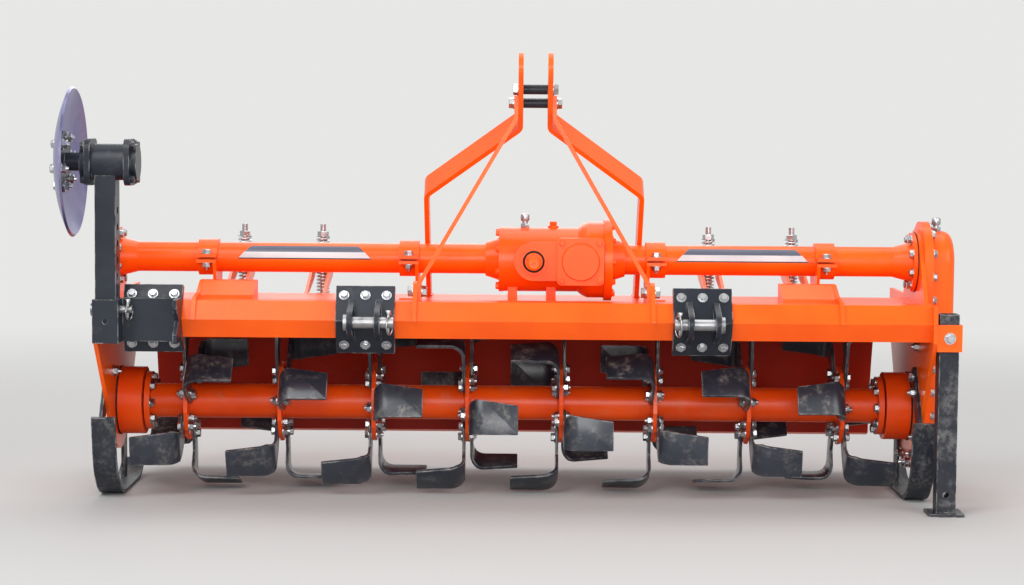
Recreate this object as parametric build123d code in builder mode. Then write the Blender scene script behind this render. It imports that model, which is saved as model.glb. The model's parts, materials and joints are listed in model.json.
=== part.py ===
"""Tractor-mounted rotary tiller with a side drive, a parking stand and a furrow disc on a pinned arm.

Millimetres. X runs to the right, Y to the rear (the tractor stands at -Y) and Z up from the floor.
"""

import os
from math import atan2, cos, radians, sin

from build123d import *

os.makedirs("parts", exist_ok=True)

# Fits
TOUCH = 0.2  # gap round a curved seat inside one body
RUN = 0.3  # radial play of a shaft in its bore
SLIDE = 0.5  # play on each side of a square leg in its sleeve

# Rotor
ROTOR_Z = 230
FLANGES = 8
FLANGE_INSET = 96  # tube end to the outermost blade flange
FLANGE_D = 205
FLANGE_T = 10
ROTOR_TUBE_D = 88.9
END_FLANGE_D = 150
END_FLANGE_T = 14
STUB_D = 60
STUB_END_GAP = 4  # stub's end to the side plate
BLADES_PER_FLANGE = 6
BLADE_T = 8
BLADE_LEG_W = 48
BLADE_DROP = 216  # rotor axis to the wing's outer face
BLADE_ROOT = 74  # rotor axis to the root end's centre
BLADE_REACH = 125  # flange face to the wing's tip
BLADE_BEND = 30  # inner radius of the bend
BLADE_SHOULDER = 119  # rotor axis to where the leading edge starts to curve
BLADE_HEEL = 130  # rotor axis to where the trailing edge widens
WING_LEAD = 4  # wing's leading corner behind the leg's middle line
WING_CHORD = 62
HELIX_STEP = 11.25  # turn from one flange to the next
HELIX_START = -108.7  # turn of the first right-hand blade, from straight down

# Side walls and bearing hubs
SIDE_HALF = 1020  # rotor centre to a side plate's inner face
SIDE_T = 10
HUB_D = 174
HUB_W = 66
HUB_GAP = 4  # hub to rotor end flange
CAP_COVER_D = 148
CAP_COVER_T = 18
ROTOR_TUBE_HALF = SIDE_HALF - HUB_W - HUB_GAP - END_FLANGE_T
FLANGE_PITCH = 2 * (ROTOR_TUBE_HALF - FLANGE_INSET) / (FLANGES - 1)

# Drive line above the deck, forward of the rotor
AXLE_Y_OFF = -60
AXLE_Z = 607
AXLE_TUBE_D = 76
AXLE_TUBE_WALL = 6
CASE_T = 22
COVER_T = 60
CASE_TOP_R = 104
CASE_LOW_R = 160
COVER_INSET = 24
EAR_TOP_R = 84
LEFT_FOOT_R = 125
AXLE_FLANGE_D = 150
AXLE_FLANGE_T = 12
AXLE_CONE_D = 100
AXLE_CONE_L = 46

# Centre gearbox, round the axle line
GEARBOX_LEFT_OFF = -30  # rotor centre to the housing's left end
GEARBOX_L = 255
BARREL_CASE_D = 164
BELL_D = 194
BELL_L = 66
BELL_ROUND = 26
BIG_FLANGE_D = 208
BIG_FLANGE_T = 20
SMALL_FLANGE_D = 166
SMALL_FLANGE_T = 12
CONE_L = 34
CONE_D = 108
CONE_LIP = 5  # cone's small end beyond the axle tube
PAD_OUT = 100  # axle line to the face of the casting's front pad
PAD_D = 98
BOSS_D = 64
BOSS_L = 12
BORE_DEPTH = 54  # shaft's seat, from the pad's face inwards
SHAFT_D = 35
SHAFT_OUT = 76  # shaft ahead of its collar
COLLAR_D = 44
COLLAR_OUT = 6  # collar ahead of the boss
SHAFT_CHAMFER = 5
CENTRE_D = 6
COVER_W = 118
COVER_ROUND = 11
COVER_GAP = 2  # cover to the bell's flange
COVER_PLATE_T = 12
COVER_DISC_D = 96
COVER_DISC_T = 8
COVER_DISC_TAPER = 20
GEARBOX_FOOT_W = 24
GEARBOX_FOOT_L = 90
GEARBOX_FEET = (-53, 45)  # from the shaft, along X

# Front beam: a tube with a ridge at the front
BEAM_RIDGE_Y_OFF = -345
BEAM_RIDGE_Z = 470
BEAM_H = 90
BEAM_D = 92
BEAM_NOSE = 26
BEAM_WALL = 6

# Hood and trailing board
SHEET_T = 5
DECK_DROP = 15  # beam top to the deck
HOOD_KNEE_Y_OFF = 165
HOOD_BEND = 56
HOOD_END_BACK = 21  # hinge to the sheet's rear edge, forwards
HOOD_END_UP = 12.6
HINGE_Y_OFF = 300
HINGE_Z = 395
HINGE_ROD_D = 16
KNUCKLE_D = 28
BOARD_GAP = 45  # side plate to the board's end
BOARD_HALF = SIDE_HALF - BOARD_GAP
BOARD_BELLY = 44  # hinge to the board's middle, rearwards
BOARD_LIP = 20
BOARD_LIP_ANGLE = -20
BOARD_LOW_Z = 112
BOARD_SWEEP = 66  # hinge to the board's lower edge, rearwards
BOARD_RISE = 32  # degrees
LUG_L = 100  # hinge to the pin of a spring rod
LUG_ANGLE = 12  # the pin lies this far below the hinge's level
LUG_R = 20
LUG_T = 8
LUG_GAP = 18
LUG_PIN_D = 14
SLOT_PLAY = 1  # play round the lug pin

# Hitch, set off to the right of the rotor's middle
HITCH_OFF = 46
HITCH_SPAN = 825
HITCH_PIN_D = 28
PIN_HEAD_D = 40
PIN_HEAD_T = 9
PIN_TAIL = 32  # pin past the inner ear
EAR_GAP = 52
EAR_T = 14
EAR_ROOT_H = 99
EAR_R = 30
PIN_AHEAD = 52  # ridge to the pin's axis
PLATE_W = 144
PLATE_T = 12
PLATE_LIP = 32  # plate beyond the beam, above and below

# Mast
MAST_GAP = 60
MAST_T = 12
MAST_W = 72
TOP_PIN_D = 25.5
TOP_PIN_Z = 1088
TOP_PIN_Y_OFF = -340
MAST_LEAN = 38  # degrees, rearwards
MAST_CAP = 36  # top pin to the bars' upper end
MAST_ROUND = 35
ARM_SPREAD = 272
ARM_OUT = 163  # top pin to the first bend, along the bar
ARM_DOWN = 378  # top pin to the second bend, along the bar
BRACE_T = 10
BRACE_W = 44
BRACE_Y_OFF = -286
BRACE_TOP_Z = 1021
BRACE_OUT_Z = 965
BRACE_DOWN_Z = 560
BRACE_CLEAR = 58.5  # hitch plate to a brace's foot
BRACE_FOOT = HITCH_SPAN / 2 - PLATE_W / 2 - BRACE_CLEAR
SPACER_D = 24
SPACER_STEPS = (66, 108)  # along the bars from the top pin
BRACE_LUG_T = 10
BRACE_LUG_R = 25
BRACE_LUG_RISE = 24  # beam top to the middle of the lug's round end
BRACE_LUG_TOE_R = 9

# Furrow disc and its arm
LEG_INSET = 34  # side plate's inner face to the arm
LEG_X_OFF = LEG_INSET - SIDE_HALF
LEG_W = 50
LEG_D = 60
SLEEVE_WALL = 6
SLEEVE_H = 106
SLEEVE_AHEAD = 46  # ridge to the leg's axis
LEG_WALL = 6
LEG_HOLE_D = 19
LEG_HOLE_PITCH = 40
LEG_HOLES = 7
LEG_PIN_D = 18
LEG_PIN_HEAD_D = 32
LEG_PIN_HEAD_T = 8
LEG_PIN_TAIL = 28
BRACKET_INSET = 134  # side plate's inner face to the bracket's middle
BRACKET_X_OFF = BRACKET_INSET - SIDE_HALF
BRACKET_WEB_T = 10
NOTCH_D = 34
NOTCH_H = 62
SLEEVE_HOLE_D = 12
DISC_Z = 853
BARREL_D = 88
BARREL_L = 136
BARREL_SHIFT = 8  # leg to the barrel's middle, to the right
CAP_W = 112
CAP_T = 14
DISC_D = 362
DISC_T = 5
DISC_DISH = 32
DISC_FLAT_R = 76
DISC_CURVE = 0.36  # share of the dish that lies inside the middle radius
DISC_CLEAR = 48  # side plate's inner face to the disc's rim plane
DISC_RIM_OFF = -SIDE_HALF - DISC_CLEAR
SPINDLE_D = 44
DISC_HUB_D = 148
DISC_HUB_T = 10

# Parking stand
STAND_W = 48
STAND_WALL = 5
STAND_TOP_Z = 496
STAND_SLEEVE_Z = 405
STAND_SLEEVE_H = 66
STAND_BEHIND = 22  # ridge to the leg's axis
FOOT_W = 86
FOOT_T = 8
STAND_HOLE_D = 14
STAND_HOLE_Z = 52

# Skids
SKID_W = 60
SKID_T = 10
SKID_BEND = 150
SKID_NOSE_Y_OFF = -240
SKID_NOSE_Z = 214
SKID_TOE_Y_OFF = -196
SKID_HEEL_Y_OFF = 160
SKID_TAIL_Y_OFF = 226
SKID_TAIL_Z = 44
TAB_T = 8
TAB_W = 50
FRONT_BOLT_Y_OFF = -118
FRONT_BOLT_Z = 318
REAR_BOLT_Y_OFF = 128
REAR_BOLT_Z = 270

# Clamps that hold the axle tubes on the deck
CLAMP_W = 50
CLAMP_T = 8
CLAMP_LIP = 30
CLAMP_SLIT = 6
CLAMP_LEFT_INSET = 238  # side plate's inner face to the outer clamp
CLAMP_RIGHT_INSET = 232
CLAMP_X_OFF = (CLAMP_LEFT_INSET - SIDE_HALF, -270, 357, SIDE_HALF - CLAMP_RIGHT_INSET)

# Boxes on the deck beside the outer clamps, each with a plate that runs over the beam
BOX_LEFT_INSET = 300  # side plate's inner face to the box's middle
BOX_RIGHT_INSET = 286
BOX_X_OFF = (BOX_LEFT_INSET - SIDE_HALF, SIDE_HALF - BOX_RIGHT_INSET)
BOX_W = 142
BOX_TOP_Z = 555
BOX_FRONT_Z = 524
BOX_TOP_RUN = 40  # length of the top's level part
BOX_GAP = 38  # box to a tube stand's base
GUSSET_T = 10
GUSSET_RISE = 14  # beam top to the gusset's upper edge

# Spring rods of the trailing board
ROD_D = 16
ROD_TOP_Z = 672
ROD_X_OFF = (-744, -529, 531, 760)
BLOCK_Z = 560
BLOCK_W = 40
BLOCK_H = 30
SPRING_D = 38
SPRING_L = 62

# The overall box is centred on the origin
LEFT_REACH = -DISC_RIM_OFF + DISC_DISH
RIGHT_REACH = SIDE_HALF + SIDE_T + CASE_T + COVER_T
FRONT_REACH = DISC_D / 2 - BEAM_RIDGE_Y_OFF + SLEEVE_AHEAD
ROTOR_X = (LEFT_REACH - RIGHT_REACH) / 2
REAR_REACH = HINGE_Y_OFF + LUG_L * cos(radians(LUG_ANGLE)) + LUG_R
ROTOR_Y = (FRONT_REACH - REAR_REACH) / 2

AXLE_Y = ROTOR_Y + AXLE_Y_OFF
RIDGE_Y = ROTOR_Y + BEAM_RIDGE_Y_OFF
BEAM_TOP = BEAM_RIDGE_Z + BEAM_H / 2
BEAM_LOW = BEAM_RIDGE_Z - BEAM_H / 2
BEAM_REAR_Y = RIDGE_Y + BEAM_D
HINGE_Y = ROTOR_Y + HINGE_Y_OFF
DECK_TOP = BEAM_TOP - DECK_DROP
HITCH_X = ROTOR_X + HITCH_OFF
LEFT_IN = ROTOR_X - SIDE_HALF
RIGHT_IN = ROTOR_X + SIDE_HALF

# The beam's sloping front faces go on past it as lugs for the bolted brackets
FACE_LEAN = atan2(BEAM_NOSE, BEAM_H / 2)
LIP_RISE = BEAM_H / 2 + PLATE_LIP
LIP_Y = RIDGE_Y + LIP_RISE * BEAM_NOSE / (BEAM_H / 2)
LIP_RUN = PLATE_LIP * BEAM_NOSE / (BEAM_H / 2)
HITCH_STATIONS = (HITCH_X - HITCH_SPAN / 2, HITCH_X + HITCH_SPAN / 2)
DISC_STATION = ROTOR_X + BRACKET_X_OFF
BRACKET_STATIONS = (*HITCH_STATIONS, DISC_STATION)
BEAM_OUTLINE = [
    (RIDGE_Y, BEAM_RIDGE_Z),
    (RIDGE_Y + BEAM_NOSE, BEAM_TOP),
    (BEAM_REAR_Y, BEAM_TOP),
    (BEAM_REAR_Y, BEAM_LOW),
    (RIDGE_Y + BEAM_NOSE, BEAM_LOW),
]


def save(piece, name):
    """Label a finished piece and write it as its own file."""
    piece.part.label = name
    export_step(piece.part, f"parts/{name}.step")


# Rotor: tube, blade flanges and the stub shafts that run in the hubs
with BuildPart() as rotor_shaft:
    with BuildSketch(Plane.YZ.offset(ROTOR_X - ROTOR_TUBE_HALF)) as tube_section:
        with Locations((ROTOR_Y, ROTOR_Z)):
            Circle(ROTOR_TUBE_D / 2)
    extrude(amount=2 * ROTOR_TUBE_HALF)
    for index in range(FLANGES):
        flange_x = ROTOR_X + (index - (FLANGES - 1) / 2) * FLANGE_PITCH
        with BuildSketch(Plane.YZ.offset(flange_x - FLANGE_T / 2)) as flange_face:
            with Locations(Location((ROTOR_Y, ROTOR_Z), HELIX_START + index * HELIX_STEP)):
                RegularPolygon(FLANGE_D / 2, 2 * BLADES_PER_FLANGE)
        extrude(amount=FLANGE_T)
    for side in (-1, 1):
        end_x = ROTOR_X + side * ROTOR_TUBE_HALF
        with BuildSketch(Plane.YZ.offset(end_x)) as end_flange:
            with Locations((ROTOR_Y, ROTOR_Z)):
                Circle(END_FLANGE_D / 2)
        extrude(amount=side * END_FLANGE_T)
        with BuildSketch(Plane.YZ.offset(end_x)) as stub_section:
            with Locations((ROTOR_Y, ROTOR_Z)):
                Circle(STUB_D / 2)
        extrude(amount=side * (END_FLANGE_T + HUB_GAP + HUB_W - STUB_END_GAP))
save(rotor_shaft, "rotor_shaft")

# One right-hand blade, pointing straight down from a flange face at X = 0
with BuildPart() as blade:
    with BuildSketch(Plane.XZ) as bent_section:
        with BuildLine() as bent_path:
            FilletPolyline(
                (BLADE_T / 2, -BLADE_ROOT + BLADE_LEG_W / 2),
                (BLADE_T / 2, -BLADE_DROP + BLADE_T / 2),
                (BLADE_REACH, -BLADE_DROP + BLADE_T / 2),
                radius=BLADE_BEND + BLADE_T / 2,
            )
        trace(line_width=BLADE_T)
    extrude(amount=BLADE_LEG_W + WING_CHORD, both=True)
    with BuildSketch(Plane.YZ) as side_outline:
        with BuildLine() as outline:
            lead = Line((BLADE_LEG_W / 2, -BLADE_ROOT), (BLADE_LEG_W / 2, -BLADE_SHOULDER))
            nose = TangentArc(lead @ 1, (-WING_LEAD, -BLADE_DROP), tangent=lead % 1)
            edge = Line(nose @ 1, (-WING_LEAD - WING_CHORD, -BLADE_DROP))
            heel = Line(edge @ 1, (-BLADE_LEG_W / 2, -BLADE_HEEL))
            back = Line(heel @ 1, (-BLADE_LEG_W / 2, -BLADE_ROOT))
            ThreePointArc(back @ 1, (0, -BLADE_ROOT + BLADE_LEG_W / 2), lead @ 0)
        make_face()
    extrude(amount=2 * BLADE_REACH, both=True, mode=Mode.INTERSECT)

# All blades: right and left hand take turns round each flange
for hand, name in ((1, "blades_right"), (-1, "blades_left")):
    places = []
    for index in range(FLANGES):
        flange_x = ROTOR_X + (index - (FLANGES - 1) / 2) * FLANGE_PITCH
        first = HELIX_START + index * HELIX_STEP + (0 if hand > 0 else 360 / BLADES_PER_FLANGE)
        for turn in range(BLADES_PER_FLANGE // 2):
            angle = first + turn * 720 / BLADES_PER_FLANGE
            places.append(Location((flange_x + hand * FLANGE_T / 2, ROTOR_Y, ROTOR_Z), (angle, 0, 0)))
    handed = blade.part if hand > 0 else mirror(blade.part, about=Plane.YZ, mode=Mode.PRIVATE)
    with BuildPart() as blades:
        with Locations(*places):
            add(handed)
    save(blades, name)


# Front beam
with BuildPart() as front_beam:
    with BuildSketch(Plane.YZ.offset(LEFT_IN)) as beam_section:
        Polygon(*BEAM_OUTLINE, align=None)
        offset(amount=-BEAM_WALL, kind=Kind.INTERSECTION, mode=Mode.SUBTRACT)
    extrude(amount=2 * SIDE_HALF)
    for station_x in BRACKET_STATIONS:
        for side in (-1, 1):
            with BuildSketch(Plane.YZ.offset(station_x - PLATE_W / 2)) as lug_section:
                with BuildLine() as lug_outline:
                    Polyline(
                        (LIP_Y - LIP_RUN, BEAM_RIDGE_Z + side * BEAM_H / 2),
                        (LIP_Y, BEAM_RIDGE_Z + side * LIP_RISE),
                        (LIP_Y + PLATE_T, BEAM_RIDGE_Z + side * LIP_RISE),
                        (LIP_Y - LIP_RUN + PLATE_T, BEAM_RIDGE_Z + side * BEAM_H / 2),
                        close=True,
                    )
                make_face()
            extrude(amount=PLATE_W)
save(front_beam, "front_beam")

# Hood: one bent sheet from the beam over the rotor to the trailing board's hinge
with BuildPart() as hood:
    with BuildSketch(Plane.YZ.offset(LEFT_IN)) as hood_section:
        with BuildLine() as hood_path:
            FilletPolyline(
                (BEAM_REAR_Y, DECK_TOP - SHEET_T / 2),
                (ROTOR_Y + HOOD_KNEE_Y_OFF, DECK_TOP - SHEET_T / 2),
                (HINGE_Y - HOOD_END_BACK, HINGE_Z + HOOD_END_UP),
                radius=HOOD_BEND,
            )
        trace(line_width=SHEET_T)
    extrude(amount=2 * SIDE_HALF)
save(hood, "hood")

# Side plates, each with an ear for the axle tube and a rounded foot round the rotor's hub
for name, plate_x, foot_r in (
    ("side_plate_left", LEFT_IN - SIDE_T, LEFT_FOOT_R),
    ("side_plate_right", RIGHT_IN, CASE_LOW_R),
):
    with BuildPart() as side_plate:
        with BuildSketch(Plane.YZ.offset(plate_x)) as wall:
            with Locations((ROTOR_Y, ROTOR_Z)):
                Circle(foot_r)
            with Locations(((RIDGE_Y + HINGE_Y) / 2, BEAM_RIDGE_Z)):
                Rectangle(HINGE_Y - RIDGE_Y + KNUCKLE_D, BEAM_H)
            make_hull()
        extrude(amount=SIDE_T)
        with BuildSketch(Plane.YZ.offset(plate_x)) as ear:
            with Locations((AXLE_Y, AXLE_Z)):
                Circle(EAR_TOP_R)
            with Locations((AXLE_Y, DECK_TOP - BEAM_H / 4)):
                Rectangle(4 * EAR_TOP_R, BEAM_H / 2)
            make_hull()
        extrude(amount=SIDE_T)
    save(side_plate, name)

# Side drive: a flat case and its bulged cover on the right side plate
with BuildPart() as gear_case:
    with BuildSketch(Plane.YZ.offset(RIGHT_IN + SIDE_T)) as case_outline:
        with Locations((ROTOR_Y, ROTOR_Z)):
            Circle(CASE_LOW_R)
        with Locations((AXLE_Y, AXLE_Z)):
            Circle(CASE_TOP_R)
        make_hull()
    extrude(amount=CASE_T)
save(gear_case, "gear_case")

with BuildPart() as gear_cover:
    with BuildSketch(Plane.YZ.offset(RIGHT_IN + SIDE_T + CASE_T)) as cover_outline:
        with Locations((ROTOR_Y, ROTOR_Z)):
            Circle(CASE_LOW_R - COVER_INSET)
        with Locations((AXLE_Y, AXLE_Z)):
            Circle(CASE_TOP_R - COVER_INSET)
        make_hull()
    extrude(amount=COVER_T)
    fillet(gear_cover.faces().sort_by(Axis.X)[-1].edges(), COVER_INSET)
save(gear_cover, "gear_cover")

# Bearing hubs between the side plates and the rotor's ends
for name, hub_x in (
    ("bearing_hub_left", LEFT_IN),
    ("bearing_hub_right", RIGHT_IN - HUB_W),
):
    with BuildPart() as hub:
        with BuildSketch(Plane.YZ.offset(hub_x)) as drum:
            with Locations((ROTOR_Y, ROTOR_Z)):
                Circle(HUB_D / 2)
                Circle(STUB_D / 2 + RUN, mode=Mode.SUBTRACT)
        extrude(amount=HUB_W)
    save(hub, name)

# Left bearing cap, outside the side plate
with BuildPart() as bearing_cap:
    with BuildSketch(Plane.YZ.offset(LEFT_IN - SIDE_T)) as cap_round:
        with Locations((ROTOR_Y, ROTOR_Z)):
            Circle(CAP_COVER_D / 2)
    extrude(amount=-CAP_COVER_T)
    fillet(bearing_cap.edges().sort_by(Axis.X)[0], CAP_COVER_T / 3)
save(bearing_cap, "bearing_cap")

# Centre gearbox: a barrel along the axle line, a bell and flange at its right, a cone at each end
GEARBOX_X0 = ROTOR_X + GEARBOX_LEFT_OFF
GEARBOX_X1 = GEARBOX_X0 + GEARBOX_L
GEARBOX_FRONT = AXLE_Y - PAD_OUT
COVER_X = GEARBOX_X1 - COVER_W / 2 - COVER_GAP
AXLE_LINE = Plane((0, AXLE_Y, AXLE_Z), x_dir=(1, 0, 0), z_dir=(0, -1, 0))
AXLE_AXIS = Axis((0, AXLE_Y, AXLE_Z), (1, 0, 0))
BOSS_FACE = Plane((HITCH_X, GEARBOX_FRONT, AXLE_Z), x_dir=(1, 0, 0), z_dir=(0, -1, 0))
CONE_END_R = AXLE_TUBE_D / 2 + CONE_LIP
with BuildPart() as gearbox:
    with BuildSketch(AXLE_LINE) as case_profile:
        with BuildLine() as case_edge:
            lower = Polyline(
                (GEARBOX_X0 - SMALL_FLANGE_T - CONE_L, 0),
                (GEARBOX_X0 - SMALL_FLANGE_T - CONE_L, CONE_END_R),
                (GEARBOX_X0 - SMALL_FLANGE_T, CONE_D / 2),
                (GEARBOX_X0 - SMALL_FLANGE_T, SMALL_FLANGE_D / 2),
                (GEARBOX_X0, SMALL_FLANGE_D / 2),
                (GEARBOX_X0, BARREL_CASE_D / 2),
                (GEARBOX_X1 - BELL_L, BARREL_CASE_D / 2),
            )
            RadiusArc(lower @ 1, (GEARBOX_X1 - BELL_L + BELL_ROUND, BELL_D / 2), 2 * BELL_ROUND)
            Polyline(
                (GEARBOX_X1 - BELL_L + BELL_ROUND, BELL_D / 2),
                (GEARBOX_X1, BELL_D / 2),
                (GEARBOX_X1, BIG_FLANGE_D / 2),
                (GEARBOX_X1 + BIG_FLANGE_T, BIG_FLANGE_D / 2),
                (GEARBOX_X1 + BIG_FLANGE_T, CONE_D / 2),
                (GEARBOX_X1 + BIG_FLANGE_T + CONE_L, CONE_END_R),
                (GEARBOX_X1 + BIG_FLANGE_T + CONE_L, 0),
                lower @ 0,
            )
        make_face()
    revolve(axis=AXLE_AXIS)
    with BuildSketch(BOSS_FACE) as front_pad:
        Circle(PAD_D / 2)
        with Locations(((COVER_X - HITCH_X) / 2, 0)):
            Rectangle(COVER_X - HITCH_X, PAD_D)
        with Locations((COVER_X - HITCH_X, 0)):
            RectangleRounded(COVER_W, COVER_W, COVER_ROUND)
    extrude(amount=-PAD_OUT)
    with BuildSketch(BOSS_FACE) as boss:
        Circle(BOSS_D / 2)
    extrude(amount=BOSS_L)
    with BuildSketch(BOSS_FACE.offset(BOSS_L)) as shaft_bore:
        Circle(COLLAR_D / 2 + RUN)
    extrude(amount=-BOSS_L - BORE_DEPTH, mode=Mode.SUBTRACT)
    with BuildSketch(Plane.XY.offset(DECK_TOP)) as gearbox_feet:
        with Locations(*[(HITCH_X + foot_x, AXLE_Y) for foot_x in GEARBOX_FEET]):
            Rectangle(GEARBOX_FOOT_W, GEARBOX_FOOT_L)
    extrude(amount=AXLE_Z - DECK_TOP - BARREL_CASE_D / 4)
save(gearbox, "gearbox")

# Square cover on the casting's pad, right of the shaft
with BuildPart() as gearbox_cover:
    with BuildSketch(BOSS_FACE) as cover_plate:
        with Locations((COVER_X - HITCH_X, 0)):
            RectangleRounded(COVER_W, COVER_W, COVER_ROUND)
    extrude(amount=COVER_PLATE_T)
    with BuildSketch(BOSS_FACE.offset(COVER_PLATE_T)) as cover_disc:
        with Locations((COVER_X - HITCH_X, 0)):
            Circle(COVER_DISC_D / 2)
    extrude(amount=COVER_DISC_T, taper=COVER_DISC_TAPER)
save(gearbox_cover, "gearbox_cover")

# Input shaft, turning in the boss
with BuildPart() as input_shaft:
    with BuildSketch(BOSS_FACE.offset(RUN - BORE_DEPTH)) as collar_section:
        Circle(COLLAR_D / 2)
    extrude(amount=BORE_DEPTH - RUN + BOSS_L + COLLAR_OUT)
    with BuildSketch(BOSS_FACE.offset(BOSS_L + COLLAR_OUT)) as shaft_section:
        Circle(SHAFT_D / 2)
    extrude(amount=SHAFT_OUT + SHAFT_CHAMFER)
    chamfer(input_shaft.edges().sort_by(Axis.Y)[0], SHAFT_CHAMFER)
    with BuildSketch(BOSS_FACE.offset(BOSS_L + COLLAR_OUT + SHAFT_OUT + SHAFT_CHAMFER)) as centre_mark:
        Circle(CENTRE_D / 2)
    extrude(amount=-CENTRE_D, mode=Mode.SUBTRACT)
save(input_shaft, "input_shaft")

# Axle tubes, each flanged to a side plate and seated on a gearbox cone
for name, flange_x, inward, end_x in (
    ("axle_tube_left", LEFT_IN, 1, GEARBOX_X0 - SMALL_FLANGE_T - CONE_L),
    ("axle_tube_right", RIGHT_IN, -1, GEARBOX_X1 + BIG_FLANGE_T + CONE_L),
):
    with BuildPart() as axle_tube:
        with BuildSketch(AXLE_LINE) as tube_profile:
            with BuildLine() as tube_outline:
                Polyline(
                    (flange_x, AXLE_TUBE_D / 2 - AXLE_TUBE_WALL),
                    (flange_x, AXLE_FLANGE_D / 2),
                    (flange_x + inward * AXLE_FLANGE_T, AXLE_FLANGE_D / 2),
                    (flange_x + inward * AXLE_FLANGE_T, AXLE_CONE_D / 2),
                    (flange_x + inward * (AXLE_FLANGE_T + AXLE_CONE_L), AXLE_TUBE_D / 2),
                    (end_x, AXLE_TUBE_D / 2),
                    (end_x, AXLE_TUBE_D / 2 - AXLE_TUBE_WALL),
                    close=True,
                )
            make_face()
        revolve(axis=AXLE_AXIS)
    save(axle_tube, name)


# Trailing board on its hinge rod, with slotted lugs for the spring rods
ROD_Y = HINGE_Y + LUG_L * cos(radians(LUG_ANGLE))
LUG_PIN_Z = HINGE_Z - LUG_L * sin(radians(LUG_ANGLE))
with BuildPart() as hinge_rod:
    with BuildSketch(Plane.YZ.offset(LEFT_IN)) as rod_section:
        with Locations((HINGE_Y, HINGE_Z)):
            Circle(HINGE_ROD_D / 2)
    extrude(amount=2 * SIDE_HALF)
save(hinge_rod, "hinge_rod")

with BuildPart() as trailing_board:
    with BuildSketch(Plane.YZ.offset(ROTOR_X - BOARD_HALF)) as board_section:
        with BuildLine() as board_path:
            sweep_line = ThreePointArc(
                (HINGE_Y, HINGE_Z - KNUCKLE_D / 2 + SHEET_T / 2),
                (HINGE_Y + BOARD_BELLY, (HINGE_Z + BOARD_LOW_Z) / 2),
                (HINGE_Y + BOARD_SWEEP, BOARD_LOW_Z),
            )
            PolarLine(sweep_line @ 1, BOARD_LIP, BOARD_LIP_ANGLE)
        trace(line_width=SHEET_T)
        with Locations((HINGE_Y, HINGE_Z)):
            Circle(KNUCKLE_D / 2)
            Circle(HINGE_ROD_D / 2 + RUN, mode=Mode.SUBTRACT)
    extrude(amount=2 * BOARD_HALF)
    for rod_x in ROD_X_OFF:
        for side in (-1, 1):
            face_x = ROTOR_X + rod_x + side * (LUG_GAP / 2 + LUG_T / 2) - LUG_T / 2
            with BuildSketch(Plane.YZ.offset(face_x)) as lug:
                with BuildLine(mode=Mode.PRIVATE):
                    slot = CenterArc((HINGE_Y, HINGE_Z), LUG_L, -LUG_ANGLE, -BOARD_RISE)
                SlotArc(slot, 2 * LUG_R)
                with BuildLine() as lug_root:
                    Polyline(
                        (HINGE_Y + KNUCKLE_D / 2, HINGE_Z - KNUCKLE_D / 2),
                        slot @ 0,
                        slot @ 1,
                        (HINGE_Y + BOARD_BELLY - SHEET_T, (HINGE_Z + BOARD_LOW_Z) / 2 + LUG_R),
                        close=True,
                    )
                make_face()
                SlotArc(slot, LUG_PIN_D + 2 * SLOT_PLAY, mode=Mode.SUBTRACT)
            extrude(amount=LUG_T)
save(trailing_board, "trailing_board")

# Spring rods: an eye with its pin below, a threaded top above
with BuildPart() as spring_rods:
    for rod_x in ROD_X_OFF:
        with BuildSketch(Plane.XY.offset(LUG_PIN_Z)) as rod_round:
            with Locations((ROTOR_X + rod_x, ROD_Y)):
                Circle(ROD_D / 2)
        extrude(amount=ROD_TOP_Z - LUG_PIN_Z)
        with BuildSketch(Plane.YZ.offset(ROTOR_X + rod_x)) as rod_eye:
            with Locations((ROD_Y, LUG_PIN_Z)):
                Circle(ROD_D)
        extrude(amount=ROD_D / 2, both=True)
        with BuildSketch(Plane.YZ.offset(ROTOR_X + rod_x)) as eye_pin:
            with Locations((ROD_Y, LUG_PIN_Z)):
                Circle(LUG_PIN_D / 2)
        extrude(amount=LUG_GAP / 2 + 2 * LUG_T, both=True)
save(spring_rods, "spring_rods")

# Brackets on the hood that carry the rods' guide blocks
with BuildPart() as rod_brackets:
    for rod_x in ROD_X_OFF:
        for side in (-1, 1):
            cheek_x = ROTOR_X + rod_x + side * (BLOCK_W / 2 + LUG_T / 2) - LUG_T / 2
            with BuildSketch(Plane.YZ.offset(cheek_x)) as cheek:
                with BuildLine() as cheek_outline:
                    Polyline(
                        (ROTOR_Y + HOOD_KNEE_Y_OFF - BLOCK_W, DECK_TOP),
                        (ROTOR_Y + HOOD_KNEE_Y_OFF + BLOCK_W, DECK_TOP),
                        (ROD_Y - BLOCK_W / 2, BLOCK_Z - BLOCK_H),
                        (ROD_Y + BLOCK_W / 2, BLOCK_Z - BLOCK_H / 2),
                        (ROD_Y + BLOCK_W / 2, BLOCK_Z + BLOCK_H / 2),
                        (ROD_Y - BLOCK_W / 2, BLOCK_Z + BLOCK_H / 2),
                        close=True,
                    )
                make_face()
            extrude(amount=LUG_T)
        with BuildSketch(Plane.XY.offset(BLOCK_Z - BLOCK_H / 2)) as block:
            with Locations((ROTOR_X + rod_x, ROD_Y)):
                Rectangle(BLOCK_W, BLOCK_W)
                Circle(ROD_D / 2 + TOUCH, mode=Mode.SUBTRACT)
        extrude(amount=BLOCK_H)
save(rod_brackets, "rod_brackets")

# Springs above and below each guide block
with BuildPart() as rod_springs:
    for rod_x in ROD_X_OFF:
        for foot_z in (BLOCK_Z + BLOCK_H / 2, BLOCK_Z - BLOCK_H / 2 - SPRING_L):
            with BuildSketch(Plane.XY.offset(foot_z)) as coil:
                with Locations((ROTOR_X + rod_x, ROD_Y)):
                    Circle(SPRING_D / 2)
                    Circle(ROD_D / 2 + TOUCH, mode=Mode.SUBTRACT)
            extrude(amount=SPRING_L)
save(rod_springs, "rod_springs")


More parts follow.
